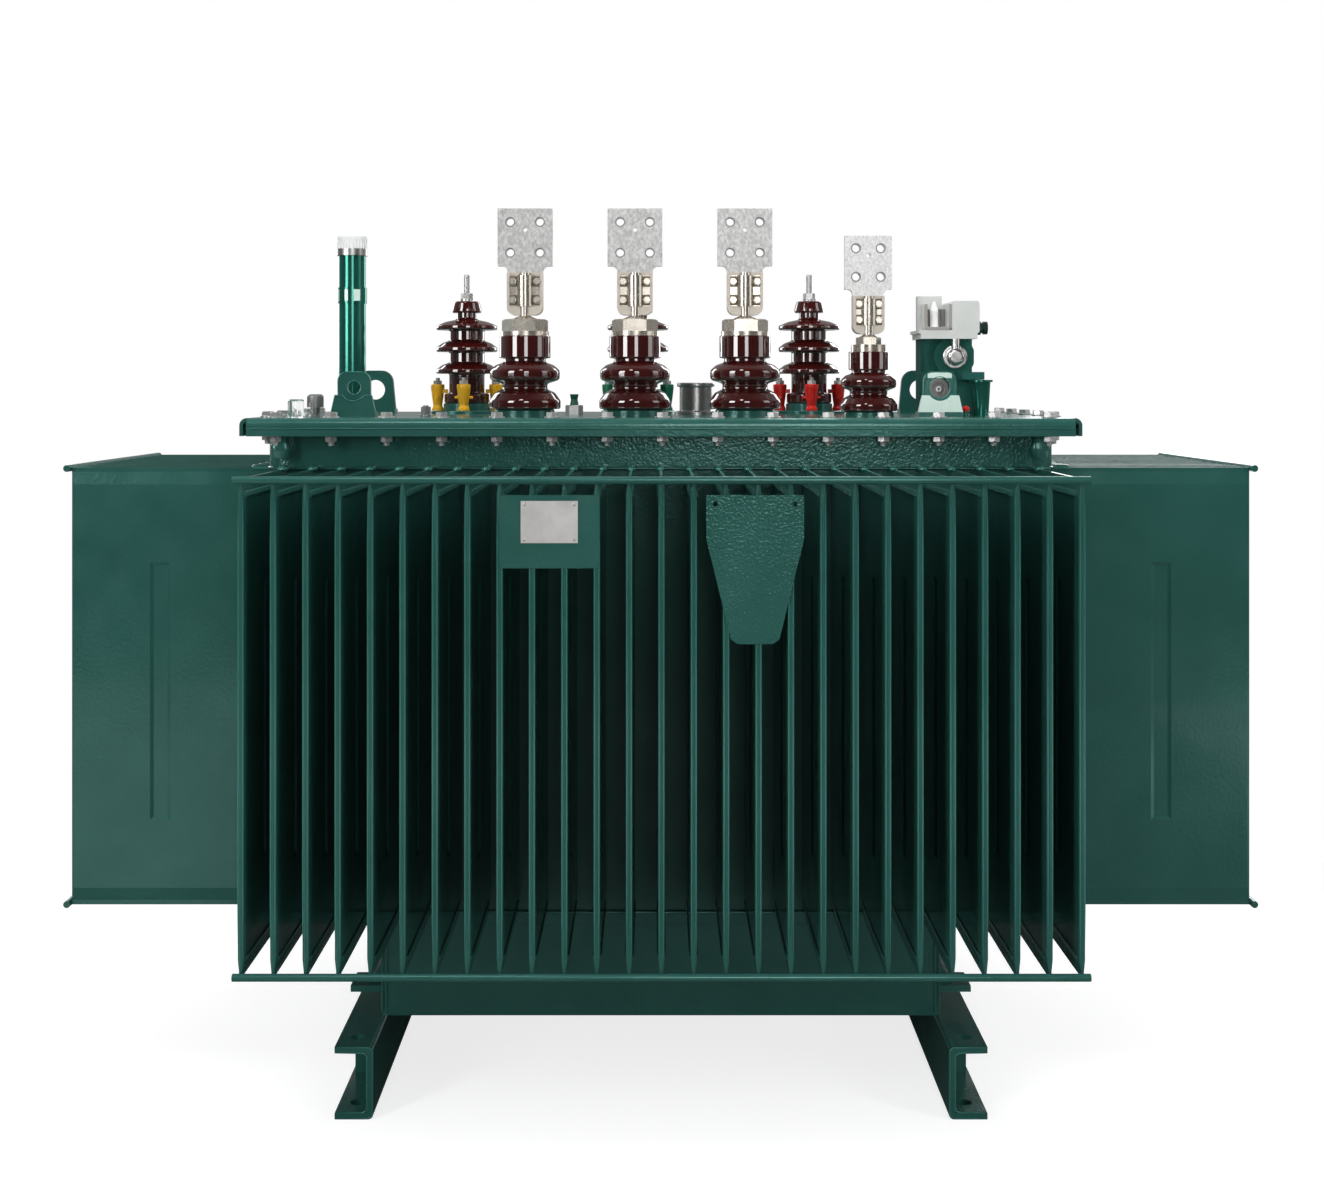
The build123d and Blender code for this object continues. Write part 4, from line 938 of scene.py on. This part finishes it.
@dataclass
class CoverTrim:
    """The crease along the cover's long lips and the gussets under the flange's corners."""

    crease_radius: float = 1.5 * MM
    crease_drop: float = 18 * MM
    crease_end: float = 17 * MM
    crease_sink: float = 0.4 * MM
    crease_step: float = 6 * MM
    crease_lift: float = 0.7
    gusset_x: float = 655 * MM
    gusset_y: float = 336 * MM
    gusset_half: tuple[float, float] = (15 * MM, 14 * MM)
    gusset_height: float = 52 * MM
    gusset_level_shares: tuple[float, ...] = (1.0, 0.985, 0.8, 0.62, 0.45, 0.3, 0.18, 0.06, 0.0)
    gusset_swell_shares: tuple[float, ...] = (0.55, 0.9, 1.12, 1.16, 1.0, 0.82, 0.8, 0.92, 1.0)
    gusset_squareness: float = 0.5
    flange_drop: float = 18 * MM

    def build(self) -> None:
        """Makes the creases and the gussets."""
        low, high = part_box("cover")
        level = high.z - self.crease_drop
        lines = []
        for k, sign in enumerate(SIDES):
            face = sign * (high.y - self.crease_sink)
            run = straight((low.x + self.crease_end, face, level), (high.x - self.crease_end, face, level),
                           self.crease_step)
            lines.append(weld(run, (0, sign, 0), self.crease_radius, Seed.CREASE + k, lift=self.crease_lift))
        Surface.joined(lines).to_object("cover_lip_creases", Finishes.ENAMEL, Crease.BEAD)
        top = high.z - self.flange_drop
        spots = np.array([(sx * self.gusset_x, sy * self.gusset_y, top) for sx, sy in CORNERS])
        self.gusset().at(spots).to_object("neck_corner_gussets", Finishes.ENAMEL, Crease.CAST)

    def gusset(self) -> Surface:
        """A block whose foot bulges: at each level its outline is a squared circle, swollen by a share.

        Returns:
            The closed block hanging from the origin.
        """
        x, y = squared_circle(*self.gusset_half, full_turn(28), self.gusset_squareness)
        swell = np.array(self.gusset_swell_shares)[:, None]
        level = -self.gusset_height * np.array(self.gusset_level_shares)[:, None]
        return capped(np.stack(np.broadcast_arrays(swell * x, swell * y, level), -1))


@dataclass
class FlagRims:
    """Dark rims round the flag terminals' holes, on both faces: painted shade of the holes' chamfers."""

    rim: float = 2.2 * MM
    rise: float = 0.45 * MM
    sink: float = 0.1 * MM
    clearance: float = 0.05 * MM
    crest_share: float = 0.6
    outer_share: float = 0.5
    inner_share: float = 0.2
    thickness: float = 14 * MM

    def build(self) -> None:
        """Makes a rim at each hole named by the record's mounts."""
        parts = []
        for mount in frame["record"]["mounts"]:
            if "flag" not in mount["name"]:
                continue
            x, y, z = mount["pos_m"]
            dims = mount["dims"]
            across, up = dims["spacing_x_mm"] * MM / 2, dims["spacing_y_mm"] * MM / 2
            outer, inner = dims["hole_r_mm"] * MM + self.rim, dims["hole_r_mm"] * MM + self.clearance
            crest = dims["hole_r_mm"] * MM + self.crest_share * self.rim
            ring = hoop([(outer, -self.sink), (outer, self.outer_share * self.rise), (crest, self.rise),
                         (inner, self.inner_share * self.rise), (inner, -self.sink)])
            spots = np.array([(x + a * across, y, z + b * up) for a, b in CORNERS])
            parts.append(ring.aimed(FRONT).at(spots))
            parts.append(ring.aimed(BACK).at(spots + np.array([0.0, self.thickness, 0.0])))
        # The dark grey of the rims is painted shade in the hole chamfers.
        Surface.joined(parts).to_object("flag_hole_rims", Finishes.PLUG)


@dataclass
class CoverPlugs:
    """Small plugs on the cover and the disc behind the right eye, their profiles in millimetres."""

    hex_place: tuple[float, float] = (-430 * MM, -150 * MM)
    hex_washer: Profile = ((11.0, 0.0), (11.0, 2.2), (10.0, 3.0))
    hex_base: float = 3 * MM
    hex_flat: float = 8.6 * MM
    hex_height: float = 14 * MM
    hex_tip: Profile = ((5.2, 17.0), (5.2, 18.6), (4.4, 19.4))
    red_place: tuple[float, float] = (556 * MM, -172 * MM)
    stem: Profile = ((9.0, 0.0), (9.0, 2.5), (6.0, 4.0), (6.0, 9.0))
    button_neck: tuple[float, float] = (6.4 * MM, 9 * MM)
    button_radius: float = 7.2 * MM
    button_base: float = 12 * MM
    button_rise: float = 7 * MM
    disc_x: float = 515 * MM
    disc_y: float = -114 * MM
    disc_rise: float = 49 * MM
    disc: Profile = ((19.5, -1.0), (19.5, 5.0), (18.0, 6.5), (12.09, 6.5), (10.725, 5.4))
    ring: Profile = ((5.2, 5.0), (5.2, 8.4), (4.6, 9.0), (3.0, 9.0), (2.6, 8.4), (2.6, 5.0))

    def build(self) -> None:
        """Makes a hexagon plug, a red button and a grey disc with a white ring."""
        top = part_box("cover")[1].z
        plug = Surface.joined([
            lathe(in_mm(self.hex_washer), 28),
            hexagon(self.hex_flat, self.hex_height, both=True).moved((0, 0, self.hex_base)),
            lathe(in_mm(self.hex_tip), 24),
        ])
        plug.moved((*self.hex_place, top)).to_object("cover_hex_plug", Finishes.PLUG)
        bow = np.linspace(0.0, math.pi / 2, 8)
        dome = zip(self.button_radius * np.cos(bow), self.button_base + self.button_rise * np.sin(bow))
        button = lathe([self.button_neck, *dome], 28)
        button.moved((*self.red_place, top)).to_object("red_button", Finishes.RED)
        stem = lathe(in_mm(self.stem), 28)
        stem.moved((*self.red_place, top)).to_object("red_button_stem", Finishes.ENAMEL)
        spot = (self.disc_x, self.disc_y, top + self.disc_rise)
        lathe(in_mm(self.disc), 40).aimed(FRONT).moved(spot).to_object("relay_grey_disc", Finishes.DISC)
        hoop(in_mm(self.ring)).aimed(FRONT).moved(spot).to_object("relay_disc_ring", Finishes.WHITE)


@dataclass
class LugEdges:
    """Rounded edges of the lifting eyes and the left saddle, in a lighter enamel that is a painted highlight,
    and a pale strip over the right eye that is a painted highlight of its top edge.
    """

    radius: float = 1.1 * MM
    width: float = 58 * MM
    height: float = 80 * MM
    corner: float = 16 * MM
    eye_rise: float = 52 * MM
    eye_steps: int = 40
    saddle_foot: float = 80 * MM
    saddle_top: float = 66 * MM
    saddle_height: float = 38 * MM
    saddle_depth: float = 10 * MM
    scoop: float = 24 * MM
    scoop_steps: int = 18
    pad: float = 8 * MM
    highlight_width: float = 10 * MM
    highlight_depth: float = 1.6 * MM
    highlight_drop_share: float = 0.6
    highlight_end_share: float = 0.45

    def build(self) -> None:
        """Makes the edges of both front lugs and the painted highlight strip."""
        parts = []
        for mount in frame["record"]["mounts"]:
            if mount["name"] not in ("front_left_eye", "front_right_eye"):
                continue
            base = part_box(mount["name"].replace("eye", "lug"))[0].z
            x, y = mount["pos_m"][0], mount["pos_m"][1] - mount["dims"]["length_mm"] * MM / 2
            turn = full_turn(self.eye_steps)
            rim = self.arc(x, y, base + self.eye_rise, mount["dims"]["r_mm"] * MM, turn)
            parts.append(weld(self.plate(x, y, base), FRONT, self.radius))
            parts.append(weld(rim, FRONT, self.radius, closed=True))
            if mount["name"] == "front_left_eye":
                parts.append(weld(self.saddle(x, y - self.saddle_depth, base), FRONT, self.radius))
            else:
                self.band(x, y, base + self.height - self.highlight_drop_share * self.highlight_width)
        # The lighter edge enamel is a painted highlight along the lug outlines.
        Surface.joined(parts).to_object("lug_round_edges", Finishes.EDGE_HIGHLIGHT, Crease.BEAD)

    def band(self, x: float, y: float, level: float) -> None:
        """Makes the pale strip across the top of an eye plate: a painted highlight of its lit top edge."""
        reach = self.width / 2 - self.highlight_end_share * self.corner
        path = straight((x - reach, y, level), (x + reach, y, level), STRIP_STEP)
        # The pale colour is a painted highlight of the plate's top edge.
        strap(path, FRONT, self.highlight_width, self.highlight_depth).to_object("right_eye_pale_band", Finishes.PALE)

    def arc(self, x: float, y: float, z: float, radius: float, turn: Array) -> Array:
        """Points of an upright arc: its middle plus radius times the cosine along X and the sine along Z."""
        return np.stack([x + radius * np.cos(turn), np.full(len(turn), y), z + radius * np.sin(turn)], -1)

    def plate(self, x: float, y: float, z: float) -> Array:
        """The eye plate's outline on its front face."""
        half, low, high = self.width / 2, z + self.pad, z + self.height
        left, right = x - half, x + half
        return bent([(left, y, low), (left, y, high), (right, y, high), (right, y, low)], self.corner)

    def saddle(self, x: float, y: float, z: float) -> Array:
        """The saddle's outline on its front face: up a slanted side, along the scoop and down again."""
        dip = math.asin((self.eye_rise - self.saddle_height) / self.scoop)
        turn = np.linspace(math.pi + dip, 2 * math.pi - dip, self.scoop_steps)
        foot, top = self.saddle_foot / 2, self.saddle_top / 2
        low, high = z + self.pad, z + self.saddle_height
        left = np.array([(x - foot, y, low), (x - top, y, high)])
        right = np.array([(x + top, y, high), (x + foot, y, low)])
        return np.concatenate([left, self.arc(x, y, z + self.eye_rise, self.scoop, turn), right])


@dataclass
class FootEdges:
    """Rounded edges of the foot channels' ends, in a lighter enamel that is a painted highlight."""

    radius: float = 1.5 * MM
    thickness: float = 10.5 * MM
    bend: float = 9 * MM
    sink: float = 0.6 * MM

    def build(self) -> None:
        """Makes the outer and the inner edge at both ends of both feet."""
        parts = []
        for name in ("left_foot", "right_foot"):
            low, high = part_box(name)
            web, lips = (high.x, low.x) if name == "left_foot" else (low.x, high.x)
            for end, face in ((low.y + self.sink, FRONT), (high.y - self.sink, BACK)):
                for inset in (self.radius, self.thickness):
                    x = web + math.copysign(inset, lips - web)
                    base, top = low.z + inset, high.z - inset
                    corners = [(lips, end, base), (x, end, base), (x, end, top), (lips, end, top)]
                    parts.append(weld(bent(corners, self.bend), face, self.radius))
        # The lighter enamel is a painted highlight along the foot ends.
        Surface.joined(parts).to_object("foot_round_edges", Finishes.EDGE_HIGHLIGHT, Crease.BEAD)


@dataclass
class FinSeams:
    """The strips on long-side fins where their pinched seams begin, and the round edges of their tips,
    lighter as painted highlights.
    """

    half: float = 5 * MM
    drop: float = 24 * MM
    width: float = 9 * MM
    depth: float = 2.0 * MM
    slope: float = 0.35
    step: float = 30 * MM
    root: float = 345 * MM
    tip: float = 640 * MM
    tip_half: float = 3.4 * MM
    tip_face: float = 657.4 * MM
    tip_radius: float = 1.5 * MM
    tip_end: float = 31 * MM
    tip_step: float = 60 * MM

    def build(self) -> None:
        """Makes a strip on each fin's flanks at its top and foot, and an edge down its tip's corners."""
        base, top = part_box("front_wall")[0].z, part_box("front_wall")[1].z
        spots = fin_row(LONG_SIDE_FINS)[:, None] * np.array([1.0, 0.0, 0.0])
        strips = []
        for level, slope in ((top - self.drop, self.slope), (base + self.drop, -self.slope)):
            for side in SIDES:
                out = np.array([side, 0.0, slope]) / math.hypot(1.0, slope)
                x = side * self.half
                for sign in SIDES:
                    run = straight((x, sign * self.root, level), (x, sign * self.tip, level), self.step)
                    strips.append(strap(run, out, self.width, self.depth).at(spots))
        Surface.joined(strips).to_object("fin_seam_lines", Finishes.ENAMEL, Crease.STRIP)
        edges = []
        for sign, out in zip(SIDES, (FRONT, BACK)):
            for side in SIDES:
                foot = (side * self.tip_half, sign * self.tip_face)
                run = straight((*foot, base + self.tip_end), (*foot, top - self.tip_end), self.tip_step)
                edges.append(weld(run, out, self.tip_radius).at(spots))
        # The tip edges take a lighter enamel: a painted highlight down each fin's front.
        Surface.joined(edges).to_object("fin_tip_edges", Finishes.EDGE_HIGHLIGHT, Crease.BEAD)


@dataclass
class FillerReflections:
    """Upright pale strips on the filler pipe's band: painted reflections of the studio's windows."""

    low: float = 1375 * MM
    high: float = 1397 * MM
    radius: float = 28 * MM
    width: float = 7 * MM
    depth: float = 0.8 * MM
    turns: tuple[float, ...] = (-58.0, -14.0, 22.0, 34.0)

    def build(self) -> None:
        """Makes the painted reflections, each a flat strip on the band at its own turn from the front."""
        spot_low, spot_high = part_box("filler_pipe")
        middle = np.array([(spot_low.x + spot_high.x) / 2, (spot_low.y + spot_high.y) / 2, 0.0])
        parts = []
        for turn in np.radians(self.turns):
            out = np.array([math.sin(turn), -math.cos(turn), 0.0])
            foot = middle + out * self.radius
            run = straight(foot + [0, 0, self.low], foot + [0, 0, self.high], STRIP_STEP)
            parts.append(strap(run, out, self.width, self.depth))
        # The pale strips are painted reflections, not marks on the band.
        Surface.joined(parts).to_object("filler_band_windows", Finishes.PALE)


@dataclass
class RelayTrim:
    """The relay cradle's front edge, and a dark panel inside it that is painted shade."""

    left: float = 487 * MM
    right: float = 538 * MM
    wall: float = 6 * MM
    floor: float = 1316 * MM
    height: float = 48 * MM
    depth: float = 34 * MM
    corner: float = 6 * MM
    edge_depth: float = 1.4 * MM
    shade_depth: float = 1.2 * MM
    shade_gap: float = 0.5 * MM
    shade_drop: float = 8 * MM

    def build(self) -> None:
        """Makes the edge strip and the dark panel of painted shade."""
        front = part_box("relay_head")[0].y
        a, b = self.left + self.wall / 2, self.right - self.wall / 2
        base, top = self.floor + self.wall / 2, self.floor + self.height
        path = bent([(a, front, top), (a, front, base), (b, front, base), (b, front, top)], self.corner)
        strap(path, FRONT, self.wall, self.edge_depth).to_object("relay_cradle_edge", Finishes.CRADLE)
        middle, back = (self.left + self.right) / 2, front + self.depth
        width = self.right - self.left - 2 * self.wall - 2 * self.shade_gap
        run = straight((middle, back, self.floor + self.wall + self.shade_gap),
                       (middle, back, top - self.shade_drop), STRIP_STEP)
        # The dark panel is painted shade inside the cradle, over the lighter moulding behind.
        strap(run, FRONT, width, self.shade_depth).to_object("relay_cradle_lining", Finishes.CRADLE_SHADE)


@dataclass
class PlateRivets:
    """Rivets that hold the bare nameplate to its holder."""

    radius: float = 2.6 * MM
    rise_share: float = 0.62
    inset: float = 5.5 * MM

    def build(self) -> None:
        """Makes a domed rivet in each corner."""
        low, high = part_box("nameplate")
        spot = np.array([(x, low.y, z) for x in (low.x + self.inset, high.x - self.inset)
                         for z in (low.z + self.inset, high.z - self.inset)])
        bow = np.linspace(0.0, math.pi / 2, 6)
        dome = lathe(list(zip(self.radius * np.cos(bow), self.rise_share * self.radius * np.sin(bow))), 16)
        dome.aimed(FRONT).at(spot).to_object("nameplate_rivets", Finishes.ZINC, Crease.THREAD)


# Studio


class LampRole(Enum):
    """What a lamp lights: soft light on every surface, or a bright window in gloss."""

    SOFT = "soft"
    GLOSS = "gloss"


@dataclass
class Studio:
    """Camera, white surroundings and soft lamps.

    Attributes:
        lens: Focal length in millimetres on a 36 mm frame.
        eye: The camera's place.
        shift: The camera's shift across and up.
        soft_levels: The surround's light on matt surfaces, behind the camera and at the back.
        soft_span: Where between front (-1) and back (1) that light rises.
        gloss_levels: The surround's brightness in gloss, behind the camera and at the back.
        gloss_span: Where between front and back that brightness rises.
        floor_half: Half the floor's width.
        floor_stretch: Scale of the floor's fade along X.
        floor_fade: Distances at which the floor begins to turn and is plain white.
        floor_tones: The floor's tone, and its tone in gloss.
        floor_lift: White added to the floor for the eye.
        aim: The point that soft lamps face.
        window_distance: Distance of the gloss windows.
        cover_level: Height from which the windows' angles are taken.
        glow_level: Height of the gloss stretches over the floor.
        soft_lamps: Name, place, size and watts.
        windows: Name, degrees from the front toward the right, degrees across, lower and upper edge in
            degrees over the cover, and radiance, where about 6.5 shows white in a glaze.
        glows: Name, middle in plan, size and radiance.
    """

    lens: float = 47.6
    eye: Place = (-0.010, -3.360, 1.215)
    shift: tuple[float, float] = (0.0053, -0.158)
    soft_levels: tuple[float, float] = (0.07, 0.55)
    soft_span: tuple[float, float] = (-0.96, -0.30)
    gloss_levels: tuple[float, float] = (0.03, 0.30)
    gloss_span: tuple[float, float] = (-0.60, 0.95)
    floor_half: float = 14.0
    floor_stretch: float = 0.75
    floor_fade: tuple[float, float] = (0.6, 1.7)
    floor_tones: tuple[float, float] = (0.5, 0.12)
    floor_lift: float = 0.78
    aim: Place = (0.0, 0.0, 0.9)
    window_distance: float = 5.0
    cover_level: float = 1.2
    glow_level: float = 0.012
    soft_lamps: tuple[tuple[str, Place, Size, float], ...] = (
        ("left_soft", (-3.0, -3.6, 2.1), (0.5, 2.2), 62.0),
        ("front_soft", (0.42, -4.8, 1.3), (0.6, 1.7), 18.0),
        ("right_soft", (3.6, -2.6, 1.9), (0.5, 2.2), 40.0),
        ("ceiling", (0.0, -0.6, 3.9), (3.2, 2.4), 80.0),
        ("back_soft", (0.6, 4.4, 2.2), (2.4, 2.2), 45.0),
    )
    windows: tuple[tuple[str, float, float, float, float, float], ...] = (
        ("left_window", -43.0, 18.0, 0.8, 32.0, 6.5),
        ("front_window", 6.0, 14.0, 0.8, 26.0, 4.0),
        ("right_window", 72.0, 22.0, 0.8, 32.0, 1.6),
        ("back_left_window", -140.0, 20.0, 0.8, 32.0, 4.0),
        ("back_right_window", 150.0, 20.0, 0.8, 32.0, 4.0),
        ("high_window", -16.0, 12.0, 46.0, 60.0, 7.0),
        ("high_back_window", 170.0, 12.0, 46.0, 60.0, 7.0),
    )
    glows: tuple[tuple[str, Size, Size, float], ...] = (
        ("left_glow", (-2.3, -2.7), (2.6, 3.2), 0.5),
        ("right_glow", (2.7, -2.4), (1.8, 2.8), 0.9),
        ("back_glow", (1.2, 2.9), (2.6, 3.0), 1.2),
    )

    def build(self) -> None:
        """Sets the whole studio."""
        bpy.context.scene.view_settings.view_transform = "Standard"
        self.camera()
        self.world()
        self.floor()
        for name, place, size, power in self.soft_lamps:
            self.lamp(name, place, self.aim, size, power, LampRole.SOFT)
        for window in self.windows:
            self.window(*window)
        for name, middle, size, strength in self.glows:
            power = strength * math.pi * size[0] * size[1]
            self.lamp(name, (*middle, self.glow_level), (*middle, 1.0), size, power, LampRole.GLOSS)

    def camera(self) -> None:
        """Sets a level camera, shifted as the picture is framed."""
        data = bpy.data.cameras.new("studio_camera")
        data.sensor_width = 36.0
        data.lens = self.lens
        data.shift_x, data.shift_y = self.shift
        data.clip_end = 100.0
        eye = bpy.data.objects.new("studio_camera", data)
        eye.location = self.eye
        eye.rotation_euler = (math.pi / 2, 0.0, 0.0)
        bpy.context.scene.collection.objects.link(eye)
        bpy.context.scene.camera = eye

    def world(self) -> None:
        """A surround that is white for the eye and through glass, dim in gloss, and soft on matt surfaces."""
        surround = bpy.data.worlds.new("white_surround")
        surround.use_nodes = True
        tree = surround.node_tree
        tree.nodes.clear()
        ray = node(tree, "LightPath", {})
        seen = node(tree, "Math", {0: ray.outputs["Is Camera Ray"], 1: ray.outputs["Is Transmission Ray"]})
        seen.operation = "MAXIMUM"
        place = node(tree, "TexCoord", {}).outputs["Generated"]
        toward = node(tree, "SeparateXYZ", {"Vector": place}).outputs["Y"]
        soft, gloss, white = (
            node(tree, "Background", {"Color": colour}).outputs["Background"] for colour in (
                span(tree, toward, self.soft_span, self.soft_levels, smooth=True),
                span(tree, toward, self.gloss_span, self.gloss_levels, smooth=True),
                (1.0, 1.0, 1.0, 1.0),
            )
        )
        room = node(tree, "MixShader", {"Fac": ray.outputs["Is Glossy Ray"], 1: soft, 2: gloss})
        both = node(tree, "MixShader", {"Fac": seen.outputs["Value"], 1: room.outputs["Shader"], 2: white})
        node(tree, "OutputWorld", {"Surface": both.outputs["Shader"]})
        bpy.context.scene.world = surround

    def floor(self) -> None:
        """A pale floor that keeps the object's shadow and turns to plain white away from it."""
        half = self.floor_half
        mesh = bpy.data.meshes.new("studio_floor")
        corners = [(-half, -half, 0), (half, -half, 0), (half, half, 0), (-half, half, 0)]
        mesh.from_pydata(corners, [], [(0, 1, 2, 3)])
        ground = bpy.data.objects.new("studio_floor", mesh)
        mesh.materials.append(self.floor_finish())
        bpy.context.scene.collection.objects.link(ground)

    def floor_finish(self) -> bpy.types.Material:
        """The floor's material: matt with some white added for the eye, and plain white farther away."""
        pale = bpy.data.materials.new("pale_floor")
        pale.use_nodes = True
        tree = pale.node_tree
        tree.nodes.clear()
        ray = node(tree, "LightPath", {})
        camera = ray.outputs["Is Camera Ray"]
        place = node(tree, "TexCoord", {}).outputs["Object"]
        stretch = node(tree, "Mapping", {"Vector": place, "Scale": (self.floor_stretch, 1.0, 1.0)})
        reach = node(tree, "VectorMath", {0: stretch.outputs["Vector"]})
        reach.operation = "LENGTH"
        away = span(tree, reach.outputs["Value"], self.floor_fade, (0.0, 1.0), smooth=True)
        tone = span(tree, ray.outputs["Is Glossy Ray"], (0.0, 1.0), self.floor_tones)
        matt = node(tree, "BsdfDiffuse", {"Color": tone}).outputs["BSDF"]
        glow = node(tree, "Emission", {"Strength": product(tree, camera, self.floor_lift)})
        near = node(tree, "AddShader", {0: matt, 1: glow.outputs["Emission"]}).outputs["Shader"]
        plain = node(tree, "Emission", {"Color": (1.0, 1.0, 1.0, 1.0)}).outputs["Emission"]
        both = node(tree, "MixShader", {"Fac": product(tree, camera, away), 1: near, 2: plain})
        node(tree, "OutputMaterial", {"Surface": both.outputs["Shader"]})
        return pale

    def window(self, name: str, azimuth: float, width: float, low: float, high: float,
               strength: float) -> None:
        """Adds an upright window that shows in gloss alone: its edges lie at angles seen from the cover.

        Args:
            name: Lamp's name.
            azimuth: Degrees from the front toward the right.
            width: Degrees across.
            low: Degrees of its lower edge over the cover's level.
            high: Degrees of its upper edge.
            strength: Radiance.
        """
        turn = math.radians(azimuth)
        far = self.window_distance
        across = 2 * far * math.tan(math.radians(width) / 2)
        bottom, top = far * math.tan(math.radians(low)), far * math.tan(math.radians(high))
        level = self.cover_level + (bottom + top) / 2
        place = (far * math.sin(turn), -far * math.cos(turn), level)
        power = strength * math.pi * across * (top - bottom)
        self.lamp(name, place, (0.0, 0.0, level), (across, top - bottom), power, LampRole.GLOSS)

    def lamp(self, name: str, place: Sequence[float], aim: Sequence[float], size: tuple[float, float],
             power: float, role: LampRole) -> None:
        """Adds a rectangular lamp.

        Args:
            name: Lamp's name.
            place: Where it stands.
            aim: The point it faces.
            size: Width and height.
            power: Watts.
            role: What it lights.
        """
        data = bpy.data.lights.new(name, "AREA")
        data.shape = "RECTANGLE"
        data.size, data.size_y = size
        data.energy = power
        lamp = bpy.data.objects.new(name, data)
        lamp.visible_glossy = role is LampRole.GLOSS
        lamp.visible_diffuse = role is LampRole.SOFT
        lamp.visible_camera = False
        lamp.location = place
        gaze = np.asarray(aim, float) - np.asarray(place, float)
        flat = math.hypot(gaze[0], gaze[1])
        lamp.rotation_euler = (math.atan2(flat, -gaze[2]), 0.0, math.atan2(-gaze[0], gaze[1]))
        bpy.context.scene.collection.objects.link(lamp)


def dress_solids() -> None:
    """Gives every solid of the frame its finish, by its name or by its slot in the record."""
    finishes = Finishes.by_slot()
    for part in frame["record"]["subparts"]:
        solid = frame["nodes"][part["node"]]
        solid.data.materials.clear()
        finish = Finishes.OVERRIDES.get(part["node"], finishes[part["material_slot"]])
        solid.data.materials.append(finish.material())
        log.info("solid %s: %s", part["node"], part["material_slot"])


def main() -> None:
    """Dresses the solids, adds the small pieces and sets the studio."""
    logging.basicConfig(level=logging.INFO, format="%(name)s %(message)s")
    dress_solids()
    for group in (CoverBolts, LowVoltageFittings, HighVoltageFittings, WeldBeads, CoverTrim, FlagRims,
                  CoverPlugs, LugEdges, FootEdges, FinSeams, FillerReflections, RelayTrim, PlateRivets, Studio):
        group().build()


if __name__ == "__main__":
    main()
